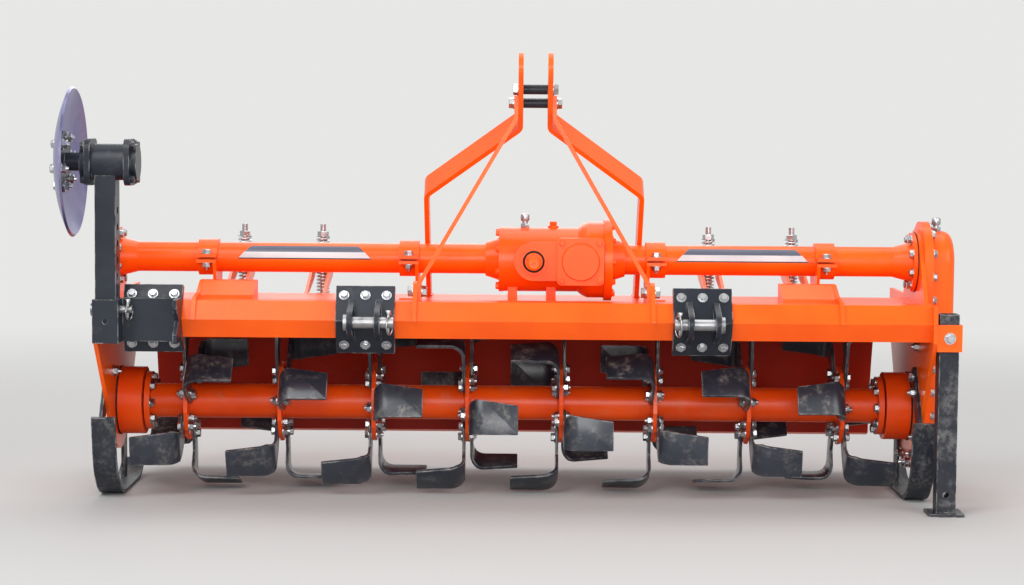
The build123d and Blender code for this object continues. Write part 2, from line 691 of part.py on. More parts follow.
# Bolted brackets on the beam: a plate folded over the ridge, with ears or a sleeve
FOLD_NOSE_Y = RIDGE_Y - PLATE_T / cos(FACE_LEAN)
PLATE_STEP_Y = PLATE_T * cos(FACE_LEAN)
PLATE_STEP_Z = PLATE_T * sin(FACE_LEAN)
PIN_Y = RIDGE_Y - PIN_AHEAD
FOLDED_PLATE = [
    (RIDGE_Y, BEAM_RIDGE_Z),
    (LIP_Y, BEAM_RIDGE_Z + LIP_RISE),
    (LIP_Y - PLATE_STEP_Y, BEAM_RIDGE_Z + LIP_RISE + PLATE_STEP_Z),
    (FOLD_NOSE_Y, BEAM_RIDGE_Z),
    (LIP_Y - PLATE_STEP_Y, BEAM_RIDGE_Z - LIP_RISE - PLATE_STEP_Z),
    (LIP_Y, BEAM_RIDGE_Z - LIP_RISE),
]
BEHIND_PLATE = [
    (RIDGE_Y, BEAM_RIDGE_Z),
    (LIP_Y, BEAM_RIDGE_Z + LIP_RISE),
    (BEAM_REAR_Y, BEAM_RIDGE_Z + LIP_RISE),
    (BEAM_REAR_Y, BEAM_RIDGE_Z - LIP_RISE),
    (LIP_Y, BEAM_RIDGE_Z - LIP_RISE),
]

for name, station_x in zip(("hitch_bracket_left", "hitch_bracket_right"), HITCH_STATIONS):
    with BuildPart() as hitch_bracket:
        with BuildSketch(Plane.YZ.offset(station_x - PLATE_W / 2)) as folded:
            Polygon(*FOLDED_PLATE, align=None)
        extrude(amount=PLATE_W)
        for ear_x in (station_x - EAR_GAP / 2 - EAR_T, station_x + EAR_GAP / 2):
            with BuildSketch(Plane.YZ.offset(ear_x)) as hitch_ear:
                with Locations((PIN_Y, BEAM_RIDGE_Z)):
                    Circle(EAR_R)
                with Locations((RIDGE_Y + BEAM_NOSE / 2, BEAM_RIDGE_Z)):
                    Rectangle(BEAM_NOSE / 2, EAR_ROOT_H)
                make_hull()
                Polygon(*BEHIND_PLATE, align=None, mode=Mode.SUBTRACT)
                with Locations((PIN_Y, BEAM_RIDGE_Z)):
                    Circle(HITCH_PIN_D / 2 + TOUCH, mode=Mode.SUBTRACT)
            extrude(amount=EAR_T)
    save(hitch_bracket, name)

# Lower hitch pins with a flat head on the outer side
for name, station_x, outward in zip(("hitch_pin_left", "hitch_pin_right"), HITCH_STATIONS, (-1, 1)):
    ear_face = station_x + outward * (EAR_GAP / 2 + EAR_T)
    with BuildPart() as hitch_pin:
        with BuildSketch(Plane.YZ.offset(ear_face)) as pin_head:
            with Locations((PIN_Y, BEAM_RIDGE_Z)):
                Circle(PIN_HEAD_D / 2)
        extrude(amount=outward * PIN_HEAD_T)
        with BuildSketch(Plane.YZ.offset(ear_face)) as pin_round:
            with Locations((PIN_Y, BEAM_RIDGE_Z)):
                Circle(HITCH_PIN_D / 2)
        extrude(amount=-outward * (EAR_GAP + 2 * EAR_T + PIN_TAIL))
    save(hitch_pin, name)

# Mast: two bars that lean back from the top-link hole and spread over the axle tubes
TOP_Y = ROTOR_Y + TOP_PIN_Y_OFF
LEAN = radians(MAST_LEAN)
MAST_PLANE = Plane(
    (HITCH_X, TOP_Y, TOP_PIN_Z),
    x_dir=(1, 0, 0),
    z_dir=(0, cos(LEAN), sin(LEAN)),
)
MAST_FOOT = (TOP_PIN_Z - DECK_TOP) / cos(LEAN) + MAST_W
for name, side in (("mast_bar_left", -1), ("mast_bar_right", 1)):
    with BuildPart() as mast_bar:
        with BuildSketch(MAST_PLANE) as bar_section:
            with BuildLine() as bar_path:
                FilletPolyline(
                    (side * (MAST_GAP + MAST_T) / 2, -MAST_CAP),
                    (side * (MAST_GAP + MAST_T) / 2, ARM_OUT),
                    (side * ARM_SPREAD, ARM_DOWN),
                    (side * ARM_SPREAD, MAST_FOOT),
                    radius=2 * MAST_T,
                )
            trace(line_width=MAST_T)
        extrude(amount=MAST_W / 2, both=True)
        fillet(mast_bar.edges().filter_by(Axis.X).sort_by(Axis.Z)[-2:], MAST_ROUND)
        split(bisect_by=Plane.XY.offset(DECK_TOP), keep=Keep.TOP)
        with BuildSketch(Plane.YZ.offset(HITCH_X)) as top_hole:
            with Locations((TOP_Y, TOP_PIN_Z)):
                Circle(TOP_PIN_D / 2)
        extrude(amount=side * (MAST_GAP + MAST_T), mode=Mode.SUBTRACT)
    save(mast_bar, name)

# Braces from the mast's top to the front beam
BRACE_X = MAST_GAP / 2 + MAST_T + BRACE_T / 2
with BuildPart() as mast_braces:
    for side in (-1, 1):
        with BuildSketch(Plane.XZ.offset(-ROTOR_Y - BRACE_Y_OFF)) as brace_section:
            with BuildLine() as brace_path:
                FilletPolyline(
                    (HITCH_X + side * BRACE_X, BRACE_TOP_Z),
                    (HITCH_X + side * BRACE_X, BRACE_OUT_Z),
                    (HITCH_X + side * BRACE_FOOT, BRACE_DOWN_Z),
                    (HITCH_X + side * BRACE_FOOT, BEAM_TOP),
                    radius=2 * BRACE_T,
                )
            trace(line_width=BRACE_T)
        extrude(amount=BRACE_W / 2, both=True)
save(mast_braces, "mast_braces")

# Lug plates on the beam, outside the braces' feet
BRACE_Y = ROTOR_Y + BRACE_Y_OFF
with BuildPart() as brace_lugs:
    for side in (-1, 1):
        lug_x = HITCH_X + side * (BRACE_FOOT + BRACE_T / 2)
        with BuildSketch(Plane.YZ.offset(lug_x)) as brace_lug:
            with Locations((BRACE_Y, BEAM_TOP + BRACE_LUG_RISE)):
                Circle(BRACE_LUG_R)
            with Locations((RIDGE_Y, BEAM_RIDGE_Z)):
                Circle(BRACE_LUG_TOE_R)
            with Locations((BRACE_Y, BEAM_TOP - BEAM_WALL)):
                Rectangle(2 * BRACE_LUG_R, BEAM_WALL)
            make_hull()
            Polygon(*BEAM_OUTLINE, align=None, mode=Mode.SUBTRACT)
            with Locations((BRACE_Y, BEAM_RIDGE_Z - BEAM_H / 2)):
                Rectangle(BEAM_H * 2, BEAM_H, mode=Mode.SUBTRACT)
        extrude(amount=side * BRACE_LUG_T)
save(brace_lugs, "brace_lugs")

# Spacer tubes between the mast bars, behind and below the top-link hole
with BuildPart() as mast_spacers:
    with BuildSketch(Plane.YZ.offset(HITCH_X - MAST_GAP / 2)) as spacer_section:
        for step in SPACER_STEPS:
            with Locations((TOP_Y + step * sin(LEAN), TOP_PIN_Z - step * cos(LEAN))):
                Circle(SPACER_D / 2)
    extrude(amount=MAST_GAP)
save(mast_spacers, "mast_spacers")

# Clamps over the axle tubes and the stands under them
CLAMP_R = AXLE_TUBE_D / 2 + TOUCH
with BuildPart() as tube_clamps:
    for clamp_x in CLAMP_X_OFF:
        with BuildSketch(Plane.YZ.offset(ROTOR_X + clamp_x - CLAMP_W / 2)) as cap:
            with Locations((AXLE_Y, AXLE_Z)):
                Circle(CLAMP_R + CLAMP_T)
            with Locations((AXLE_Y, AXLE_Z + CLAMP_SLIT / 2 + CLAMP_T / 2)):
                Rectangle(2 * (CLAMP_R + CLAMP_T + CLAMP_LIP), CLAMP_T)
            with Locations((AXLE_Y, AXLE_Z)):
                Circle(CLAMP_R, mode=Mode.SUBTRACT)
            with Locations((AXLE_Y, AXLE_Z + CLAMP_SLIT / 2 - AXLE_TUBE_D)):
                Rectangle(4 * AXLE_TUBE_D, 2 * AXLE_TUBE_D, mode=Mode.SUBTRACT)
        extrude(amount=CLAMP_W)
save(tube_clamps, "tube_clamps")

with BuildPart() as tube_stands:
    for clamp_x in CLAMP_X_OFF:
        with BuildSketch(Plane.YZ.offset(ROTOR_X + clamp_x - CLAMP_W / 2)) as cradle:
            with Locations((AXLE_Y, AXLE_Z)):
                Circle(CLAMP_R + CLAMP_T)
            with Locations((AXLE_Y, AXLE_Z - CLAMP_SLIT / 2 - CLAMP_T / 2)):
                Rectangle(2 * (CLAMP_R + CLAMP_T + CLAMP_LIP), CLAMP_T)
            with Locations((AXLE_Y, AXLE_Z)):
                Circle(CLAMP_R, mode=Mode.SUBTRACT)
            with Locations((AXLE_Y, AXLE_Z - CLAMP_SLIT / 2 + AXLE_TUBE_D)):
                Rectangle(4 * AXLE_TUBE_D, 2 * AXLE_TUBE_D, mode=Mode.SUBTRACT)
            with Locations((AXLE_Y, DECK_TOP + CLAMP_T / 2)):
                Rectangle(2 * (CLAMP_R + CLAMP_T), CLAMP_T)
        extrude(amount=CLAMP_W)
        inward = -1 if clamp_x > 0 else 1
        with BuildSketch(Plane.YZ.offset(ROTOR_X + clamp_x + inward * CLAMP_W / 2)) as web:
            with BuildLine() as web_outline:
                Polyline(
                    (AXLE_Y - CLAMP_R - CLAMP_T - CLAMP_LIP, AXLE_Z - CLAMP_SLIT / 2 - CLAMP_T),
                    (AXLE_Y - CLAMP_R - CLAMP_T, DECK_TOP),
                    (AXLE_Y + CLAMP_R + CLAMP_T, DECK_TOP),
                    (AXLE_Y + CLAMP_R + CLAMP_T + CLAMP_LIP, AXLE_Z - CLAMP_SLIT / 2 - CLAMP_T),
                    close=True,
                )
            make_face()
            with Locations((AXLE_Y, AXLE_Z)):
                Circle(CLAMP_R, mode=Mode.SUBTRACT)
        extrude(amount=-inward * CLAMP_T)
save(tube_stands, "tube_stands")

# Boxes on the deck with a sloping top, and the plates that tie them to the beam
BOX_REAR_Y = AXLE_Y - CLAMP_R - CLAMP_T - BOX_GAP
with BuildPart() as deck_boxes:
    for box_x in BOX_X_OFF:
        with BuildSketch(Plane.YZ.offset(ROTOR_X + box_x - BOX_W / 2)) as box_side:
            with BuildLine() as box_outline:
                Polyline(
                    (BEAM_REAR_Y, DECK_TOP),
                    (BEAM_REAR_Y, BOX_FRONT_Z),
                    (BOX_REAR_Y - BOX_TOP_RUN, BOX_TOP_Z),
                    (BOX_REAR_Y, BOX_TOP_Z),
                    (BOX_REAR_Y, DECK_TOP),
                    close=True,
                )
            make_face()
        extrude(amount=BOX_W)
        outward = 1 if box_x > 0 else -1
        with BuildSketch(Plane.YZ.offset(ROTOR_X + box_x + outward * BOX_W / 2)) as gusset:
            with BuildLine() as gusset_outline:
                Polyline(
                    (RIDGE_Y - GUSSET_RISE / 2, BEAM_RIDGE_Z),
                    (RIDGE_Y + BEAM_NOSE - GUSSET_RISE / 2, BEAM_TOP + GUSSET_RISE / 2),
                    (BEAM_REAR_Y, BEAM_TOP + GUSSET_RISE),
                    (BOX_REAR_Y - BOX_TOP_RUN, BOX_TOP_Z),
                    (BOX_REAR_Y, BOX_TOP_Z),
                    (BOX_REAR_Y, DECK_TOP),
                    (BEAM_REAR_Y, DECK_TOP),
                    (BEAM_REAR_Y, BEAM_RIDGE_Z),
                    close=True,
                )
            make_face()
            Polygon(*BEAM_OUTLINE, align=None, mode=Mode.SUBTRACT)
        extrude(amount=-outward * GUSSET_T)
save(deck_boxes, "deck_boxes")


# Bracket and sleeve that hold the disc's arm
LEG_X = ROTOR_X + LEG_X_OFF
LEG_Y = RIDGE_Y - SLEEVE_AHEAD
SLEEVE_LOW_Z = BEAM_RIDGE_Z - SLEEVE_H / 2
SLEEVE_W = LEG_W + 2 * (SLIDE + SLEEVE_WALL)
SLEEVE_D = LEG_D + 2 * (SLIDE + SLEEVE_WALL)
LEG_PIN_Z = BEAM_RIDGE_Z + SLEEVE_H / 4
CHEEK_X = DISC_STATION + PLATE_W / 2 - BRACKET_WEB_T
CHEEK_FRONT_Y = LEG_Y - SLEEVE_D / 2
with BuildPart() as disc_bracket:
    with BuildSketch(Plane.YZ.offset(DISC_STATION - PLATE_W / 2)) as folded_mount:
        Polygon(*FOLDED_PLATE, align=None)
    extrude(amount=PLATE_W)
    with BuildSketch(Plane.XY.offset(SLEEVE_LOW_Z)) as sleeve_section:
        with Locations((LEG_X, LEG_Y)):
            Rectangle(SLEEVE_W, SLEEVE_D)
        web_x0 = LEG_X + SLEEVE_W / 2
        with Locations(((web_x0 + CHEEK_X) / 2, LEG_Y + SLEEVE_D / 2 - BRACKET_WEB_T / 2)):
            Rectangle(CHEEK_X - web_x0, BRACKET_WEB_T)
    extrude(amount=SLEEVE_H)
    with BuildSketch(Plane.YZ.offset(CHEEK_X)) as cheek_plate:
        with Locations(((CHEEK_FRONT_Y + RIDGE_Y) / 2, BEAM_RIDGE_Z)):
            Rectangle(RIDGE_Y - CHEEK_FRONT_Y, SLEEVE_H)
        Polygon(*BEHIND_PLATE, align=None, mode=Mode.SUBTRACT)
        Polygon(
            (CHEEK_FRONT_Y, BEAM_RIDGE_Z + NOTCH_H / 2),
            (CHEEK_FRONT_Y + NOTCH_D, BEAM_RIDGE_Z),
            (CHEEK_FRONT_Y, BEAM_RIDGE_Z - NOTCH_H / 2),
            align=None,
            mode=Mode.SUBTRACT,
        )
    extrude(amount=BRACKET_WEB_T)
    with BuildSketch(Plane.XY.offset(SLEEVE_LOW_Z)) as leg_way:
        with Locations((LEG_X, LEG_Y)):
            Rectangle(LEG_W + 2 * SLIDE, LEG_D + 2 * SLIDE)
    extrude(amount=SLEEVE_H, mode=Mode.SUBTRACT)
    with BuildSketch(Plane.YZ.offset(LEG_X)) as pin_way:
        with Locations((LEG_Y, LEG_PIN_Z)):
            Circle(LEG_HOLE_D / 2)
    extrude(amount=SLEEVE_W, both=True, mode=Mode.SUBTRACT)
    with BuildSketch(Plane.XZ.offset(-LEG_Y)) as front_hole:
        with Locations((LEG_X, BEAM_RIDGE_Z)):
            Circle(SLEEVE_HOLE_D / 2)
    extrude(amount=SLEEVE_D, mode=Mode.SUBTRACT)
save(disc_bracket, "disc_bracket")

# Pin through the sleeve and the arm
with BuildPart() as arm_pin:
    with BuildSketch(Plane.YZ.offset(LEG_X - SLEEVE_W / 2)) as arm_pin_head:
        with Locations((LEG_Y, LEG_PIN_Z)):
            Circle(LEG_PIN_HEAD_D / 2)
    extrude(amount=-LEG_PIN_HEAD_T)
    with BuildSketch(Plane.YZ.offset(LEG_X - SLEEVE_W / 2)) as arm_pin_round:
        with Locations((LEG_Y, LEG_PIN_Z)):
            Circle(LEG_PIN_D / 2)
    extrude(amount=SLEEVE_W + LEG_PIN_TAIL)
save(arm_pin, "arm_pin")

# Arm: a square tube with a row of holes, and the disc's bearing barrel on top
BARREL_X0 = LEG_X + BARREL_SHIFT - BARREL_L / 2
BARREL_X1 = BARREL_X0 + BARREL_L
BORE_END = CAP_T  # solid wall at the barrel's closed end
with BuildPart() as disc_arm:
    with BuildSketch(Plane.XY.offset(SLEEVE_LOW_Z)) as leg_section:
        with Locations((LEG_X, LEG_Y)):
            Rectangle(LEG_W, LEG_D)
            Rectangle(LEG_W - 2 * LEG_WALL, LEG_D - 2 * LEG_WALL, mode=Mode.SUBTRACT)
    extrude(amount=DISC_Z - BARREL_D / 4 - SLEEVE_LOW_Z)
    with BuildSketch(Plane.YZ.offset(LEG_X)) as leg_holes:
        for index in range(LEG_HOLES):
            with Locations((LEG_Y, LEG_PIN_Z + index * LEG_HOLE_PITCH)):
                Circle(LEG_HOLE_D / 2)
    extrude(amount=LEG_W, both=True, mode=Mode.SUBTRACT)
    with BuildSketch(Plane.YZ.offset(BARREL_X0)) as barrel_section:
        with Locations((LEG_Y, DISC_Z)):
            Circle(BARREL_D / 2)
    extrude(amount=BARREL_L)
    for cap_x in (BARREL_X0 + CAP_T, BARREL_X1 - 2 * CAP_T):
        with BuildSketch(Plane.YZ.offset(cap_x)) as end_cap:
            with Locations((LEG_Y, DISC_Z)):
                RectangleRounded(CAP_W, CAP_W, CAP_W / 4)
        extrude(amount=CAP_T)
    with BuildSketch(Plane.YZ.offset(BARREL_X0)) as spindle_bore:
        with Locations((LEG_Y, DISC_Z)):
            Circle(SPINDLE_D / 2 + RUN)
    extrude(amount=BARREL_L - BORE_END, mode=Mode.SUBTRACT)
save(disc_arm, "disc_arm")

# Furrow disc: a dish with a flat centre, hollow towards the machine
DISC_X = ROTOR_X + DISC_RIM_OFF
DISC_AXIS = Axis((0, LEG_Y, DISC_Z), (1, 0, 0))
DISC_LINE = Plane((0, LEG_Y, DISC_Z), x_dir=(1, 0, 0), z_dir=(0, -1, 0))
DISC_FLAT_X = DISC_X - DISC_DISH
DISC_MID_R = (DISC_D / 2 + DISC_FLAT_R) / 2
DISC_MID_X = DISC_FLAT_X + DISC_DISH * DISC_CURVE
with BuildPart() as furrow_disc:
    with BuildSketch(DISC_LINE) as disc_profile:
        with BuildLine() as disc_outline:
            Line((DISC_FLAT_X, 0), (DISC_FLAT_X, DISC_FLAT_R))
            ThreePointArc((DISC_FLAT_X, DISC_FLAT_R), (DISC_MID_X, DISC_MID_R), (DISC_X, DISC_D / 2))
            Line((DISC_X, DISC_D / 2), (DISC_X + DISC_T, DISC_D / 2 - DISC_T))
            ThreePointArc(
                (DISC_X + DISC_T, DISC_D / 2 - DISC_T),
                (DISC_MID_X + DISC_T, DISC_MID_R - DISC_T / 2),
                (DISC_FLAT_X + DISC_T, DISC_FLAT_R),
            )
            Line((DISC_FLAT_X + DISC_T, DISC_FLAT_R), (DISC_FLAT_X + DISC_T, 0))
            Line((DISC_FLAT_X + DISC_T, 0), (DISC_FLAT_X, 0))
        make_face()
    revolve(axis=DISC_AXIS)
save(furrow_disc, "furrow_disc")

with BuildPart() as disc_spindle:
    with BuildSketch(Plane.YZ.offset(DISC_FLAT_X + DISC_T)) as disc_hub:
        with Locations((LEG_Y, DISC_Z)):
            Circle(DISC_HUB_D / 2)
    extrude(amount=DISC_HUB_T)
    with BuildSketch(Plane.YZ.offset(DISC_FLAT_X + DISC_T)) as spindle_section:
        with Locations((LEG_Y, DISC_Z)):
            Circle(SPINDLE_D / 2)
    extrude(amount=BARREL_X1 - BORE_END - RUN - DISC_FLAT_X - DISC_T)
save(disc_spindle, "disc_spindle")

# Parking stand: a sleeve on the right side plate and a square leg that slides in it
STAND_SLEEVE_W = STAND_W + 2 * (SLIDE + SLEEVE_WALL)
STAND_X = RIGHT_IN + SIDE_T + STAND_SLEEVE_W / 2
STAND_Y = RIDGE_Y + STAND_BEHIND
with BuildPart() as stand_sleeve:
    with BuildSketch(Plane.XY.offset(STAND_SLEEVE_Z)) as stand_sleeve_section:
        with Locations((STAND_X, STAND_Y)):
            Rectangle(STAND_SLEEVE_W, STAND_SLEEVE_W)
            Rectangle(STAND_W + 2 * SLIDE, STAND_W + 2 * SLIDE, mode=Mode.SUBTRACT)
    extrude(amount=STAND_SLEEVE_H)
save(stand_sleeve, "stand_sleeve")

with BuildPart() as stand_leg:
    with BuildSketch(Plane.XY) as foot_plate:
        with Locations((STAND_X, STAND_Y)):
            Rectangle(FOOT_W, FOOT_W)
    extrude(amount=FOOT_T)
    with BuildSketch(Plane.XY.offset(FOOT_T)) as stand_section:
        with Locations((STAND_X, STAND_Y)):
            Rectangle(STAND_W, STAND_W)
            Rectangle(STAND_W - 2 * STAND_WALL, STAND_W - 2 * STAND_WALL, mode=Mode.SUBTRACT)
    extrude(amount=STAND_TOP_Z - FOOT_T)
    with BuildSketch(Plane.XZ.offset(-STAND_Y)) as stand_hole:
        with Locations((STAND_X, STAND_HOLE_Z)):
            Circle(STAND_HOLE_D / 2)
    extrude(amount=STAND_W, both=True, mode=Mode.SUBTRACT)
save(stand_leg, "stand_leg")

# Skids under the side plates: a bent runner on two straps
for name, wall_x, tab_x in (
    ("skid_left", LEFT_IN - SIDE_T / 2, LEFT_IN - SIDE_T - TAB_T),
    ("skid_right", RIGHT_IN + SIDE_T / 2, RIGHT_IN - TAB_T),
):
    with BuildPart() as skid:
        with BuildSketch(Plane.YZ.offset(wall_x - SKID_W / 2)) as runner:
            with BuildLine() as runner_path:
                FilletPolyline(
                    (ROTOR_Y + SKID_NOSE_Y_OFF, SKID_NOSE_Z),
                    (ROTOR_Y + SKID_TOE_Y_OFF, SKID_T / 2),
                    (ROTOR_Y + SKID_HEEL_Y_OFF, SKID_T / 2),
                    (ROTOR_Y + SKID_TAIL_Y_OFF, SKID_TAIL_Z),
                    radius=SKID_BEND,
                )
            trace(line_width=SKID_T)
        extrude(amount=SKID_W)
        with BuildSketch(Plane.YZ.offset(tab_x)) as front_strap:
            with Locations(
                (ROTOR_Y + SKID_NOSE_Y_OFF + TAB_W / 2, SKID_NOSE_Z - TAB_W / 2),
                (ROTOR_Y + FRONT_BOLT_Y_OFF, FRONT_BOLT_Z),
            ):
                Circle(TAB_W / 2)
            make_hull()
        extrude(amount=TAB_T)
        with BuildSketch(Plane.YZ.offset(tab_x)) as rear_strap:
            with Locations((ROTOR_Y + REAR_BOLT_Y_OFF, REAR_BOLT_Z)):
                Circle(TAB_W / 2)
            with Locations((ROTOR_Y + REAR_BOLT_Y_OFF, REAR_BOLT_Z / 2)):
                Rectangle(TAB_W, REAR_BOLT_Z - SKID_T)
        extrude(amount=TAB_T)
    save(skid, name)
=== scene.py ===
"""Looks of a rotary tiller with a furrow disc: finishes, folded blades, fasteners, coil springs and a studio."""

import json
import logging
import math
from dataclasses import dataclass
from enum import Enum
from typing import Iterator, Sequence

import bmesh
import bpy
from mathutils import Matrix, Vector


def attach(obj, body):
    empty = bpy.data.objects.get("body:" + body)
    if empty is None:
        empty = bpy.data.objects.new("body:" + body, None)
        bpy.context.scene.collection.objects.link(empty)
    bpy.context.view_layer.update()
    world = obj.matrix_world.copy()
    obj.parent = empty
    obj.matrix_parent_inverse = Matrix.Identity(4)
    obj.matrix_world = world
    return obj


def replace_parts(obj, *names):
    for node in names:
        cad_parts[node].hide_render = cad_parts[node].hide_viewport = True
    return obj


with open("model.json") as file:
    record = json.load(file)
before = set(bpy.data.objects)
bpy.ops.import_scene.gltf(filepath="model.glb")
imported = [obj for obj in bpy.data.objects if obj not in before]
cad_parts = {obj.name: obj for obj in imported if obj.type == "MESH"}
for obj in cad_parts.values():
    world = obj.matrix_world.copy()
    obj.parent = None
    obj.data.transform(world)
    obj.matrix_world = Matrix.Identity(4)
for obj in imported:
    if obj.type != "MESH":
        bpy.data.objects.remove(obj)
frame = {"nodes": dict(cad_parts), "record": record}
LOG = logging.getLogger("tiller")
Colour = tuple[float, float, float]
Socket = bpy.types.NodeSocket

X = Vector((1, 0, 0))
Y = Vector((0, 1, 0))
Z = Vector((0, 0, 1))
TINY = 1e-6


class Body(Enum):
    """The rigid bodies that carry the added pieces."""

    FRAME = "frame"
    ROTOR = "rotor"
    DISC = "disc"


class Slot(Enum):
    """The record's material slots."""

    ORANGE = "orange_paint"
    BLACK = "black_paint"
    BLADE = "blade_steel"
    DISC = "disc_steel"
    ZINC = "zinc"
    SPRING = "spring_steel"


@dataclass(frozen=True)
class Layout:
    """Places and sizes shared with the solids, in metres."""

    rotor: Vector = Vector((-0.006, 0.0770926, 0.230))
    axle: Vector = Vector((0.0, 0.0170926, 0.607))
    ridge: Vector = Vector((0.0, -0.2679074, 0.470))
    hitch_x: float = 0.040
    left_in: float = -1.026
    right_in: float = 1.014
    side_t: float = 0.010
    deck: float = 0.500
    hitch_stations: tuple[float, float] = (-0.3725, 0.4525)
    disc_station: float = -0.892
    plate_t: float = 0.012
    lean: float = math.atan2(26, 45)


PLAN = Layout()


class ShaderGraph:
    """A short way to add and join the nodes of one material."""

    octave_gain: float = 0.6
    edge_cosines: tuple[float, float] = (0.985, 0.86)
    facing_depth: float = -0.04

    def __init__(self, name: str) -> None:
        """Start a material that holds one principled surface.

        Args:
            name: The material's name.
        """
        self.material = bpy.data.materials.new(name)
        self.material.use_nodes = True
        self.tree = self.material.node_tree
        self.tree.nodes.clear()
        self.output = self.add("ShaderNodeOutputMaterial")
        self.surface = self.add("ShaderNodeBsdfPrincipled")
        self.join(self.surface.outputs[0], self.output.inputs["Surface"])
        coordinates = self.add("ShaderNodeTexCoord")
        self.place = coordinates.outputs["Object"]
        self.normal = coordinates.outputs["Normal"]

    def add(self, kind: str, **settings: object) -> bpy.types.Node:
        """Add a node.

        Args:
            kind: The node's type.
            settings: Its settings, by name.

        Returns:
            The new node.
        """
        node = self.tree.nodes.new(kind)
        for key, value in settings.items():
            setattr(node, key, value)
        return node

    @staticmethod
    def fill(node: bpy.types.Node, values: dict[str, object]) -> None:
        """Give a node's inputs their values, by name."""
        for key, value in values.items():
            node.inputs[key].default_value = value

    def join(self, source: Socket, target: Socket) -> None:
        """Link one socket to another."""
        self.tree.links.new(source, target)

    def noise(self, scale: float, detail: float = 4.0, stretch: Sequence[float] = (1, 1, 1)) -> Socket:
        """Add a noise pattern.

        Args:
            scale: How many grains fit in a metre.
            detail: How many octaves are added up.
            stretch: How much finer the grain is along each axis.

        Returns:
            The pattern's grey value.
        """
        mapping = self.add("ShaderNodeMapping")
        self.fill(mapping, {"Scale": stretch})
        self.join(self.place, mapping.inputs["Vector"])
        node = self.add("ShaderNodeTexNoise")
        self.fill(node, {"Scale": scale, "Detail": detail, "Roughness": self.octave_gain})
        self.join(mapping.outputs[0], node.inputs["Vector"])
        return node.outputs[0]

    def ramp(self, source: Socket, start: float, end: float, low: float = 0.0, high: float = 1.0) -> Socket:
        """Map a grey value smoothly from one span to another.

        Args:
            source: The grey value.
            start: The value that gives low.
            end: The value that gives high.
            low: What comes out at start.
            high: What comes out at end.

        Returns:
            The mapped value.
        """
        node = self.add("ShaderNodeMapRange", interpolation_type="SMOOTHSTEP")
        self.fill(node, {"From Min": start, "From Max": end, "To Min": low, "To Max": high})
        self.join(source, node.inputs["Value"])
        return node.outputs[0]

    def times(self, first: Socket, second: Socket | float) -> Socket:
        """Multiply a value by another.

        Args:
            first: The value.
            second: A second value, or a plain number.

        Returns:
            The product.
        """
        node = self.add("ShaderNodeMath", operation="MULTIPLY")
        self.join(first, node.inputs[0])
        if isinstance(second, float):
            node.inputs[1].default_value = second
        else:
            self.join(second, node.inputs[1])
        return node.outputs[0]

    def blend(self, factor: Socket, under: Socket | Colour, over: Socket | Colour) -> Socket:
        """Mix two colours.

        Args:
            factor: How much of the second colour shows.
            under: The first colour.
            over: The second colour.

        Returns:
            The mixed colour.
        """
        node = self.add("ShaderNodeMix", data_type="RGBA")
        self.join(factor, node.inputs["Factor"])
        for socket, value in ((node.inputs[6], under), (node.inputs[7], over)):
            if isinstance(value, tuple):
                socket.default_value = (*value, 1.0)
            else:
                self.join(value, socket)
        return node.outputs[2]

    def facing_up(self) -> Socket:
        """Find which way a face looks.

        Returns:
            How far it looks up, from minus one to one.
        """
        split = self.add("ShaderNodeSeparateXYZ")
        self.join(self.normal, split.inputs[0])
        return split.outputs[2]

    # Used to place the painted shade inside the hood and the trailing board.
    def facing_axis(self, axis: Vector) -> Socket:
        """Give a mask of the faces that look towards an axis along X.

        Args:
            axis: A point of the axis.

        Returns:
            One on the faces that look towards it, nought on the others.
        """
        across = self.add("ShaderNodeVectorMath", operation="MULTIPLY_ADD")
        across.inputs[1].default_value = (0, 1, 1)
        across.inputs[2].default_value = (0, -axis.y, -axis.z)
        self.join(self.place, across.inputs[0])
        dot = self.add("ShaderNodeVectorMath", operation="DOT_PRODUCT")
        self.join(across.outputs[0], dot.inputs[0])
        self.join(self.normal, dot.inputs[1])
        return self.ramp(dot.outputs["Value"], 0.0, self.facing_depth)

    def edges(self, width: float) -> Socket:
        """Give a mask of the sharp edges.

        Args:
            width: How far the mask reaches from an edge, in metres.

        Returns:
            One on an edge, nought on the flats.
        """
        bevel = self.add("ShaderNodeBevel", samples=4)
        self.fill(bevel, {"Radius": width})
        geometry = self.add("ShaderNodeNewGeometry")
        dot = self.add("ShaderNodeVectorMath", operation="DOT_PRODUCT")
        self.join(bevel.outputs[0], dot.inputs[0])
        self.join(geometry.outputs["Normal"], dot.inputs[1])
        return self.ramp(dot.outputs["Value"], *self.edge_cosines)

    def bump(self, height: Socket, strength: float, depth: float) -> None:
        """Raise the surface by a grey value.

        Args:
            height: The grey value.
            strength: How much of the relief shows, up to one.
            depth: The relief's full height, in metres.
        """
        node = self.add("ShaderNodeBump")
        self.fill(node, {"Strength": strength, "Distance": depth})
        self.join(height, node.inputs["Height"])
        self.join(node.outputs[0], self.surface.inputs["Normal"])


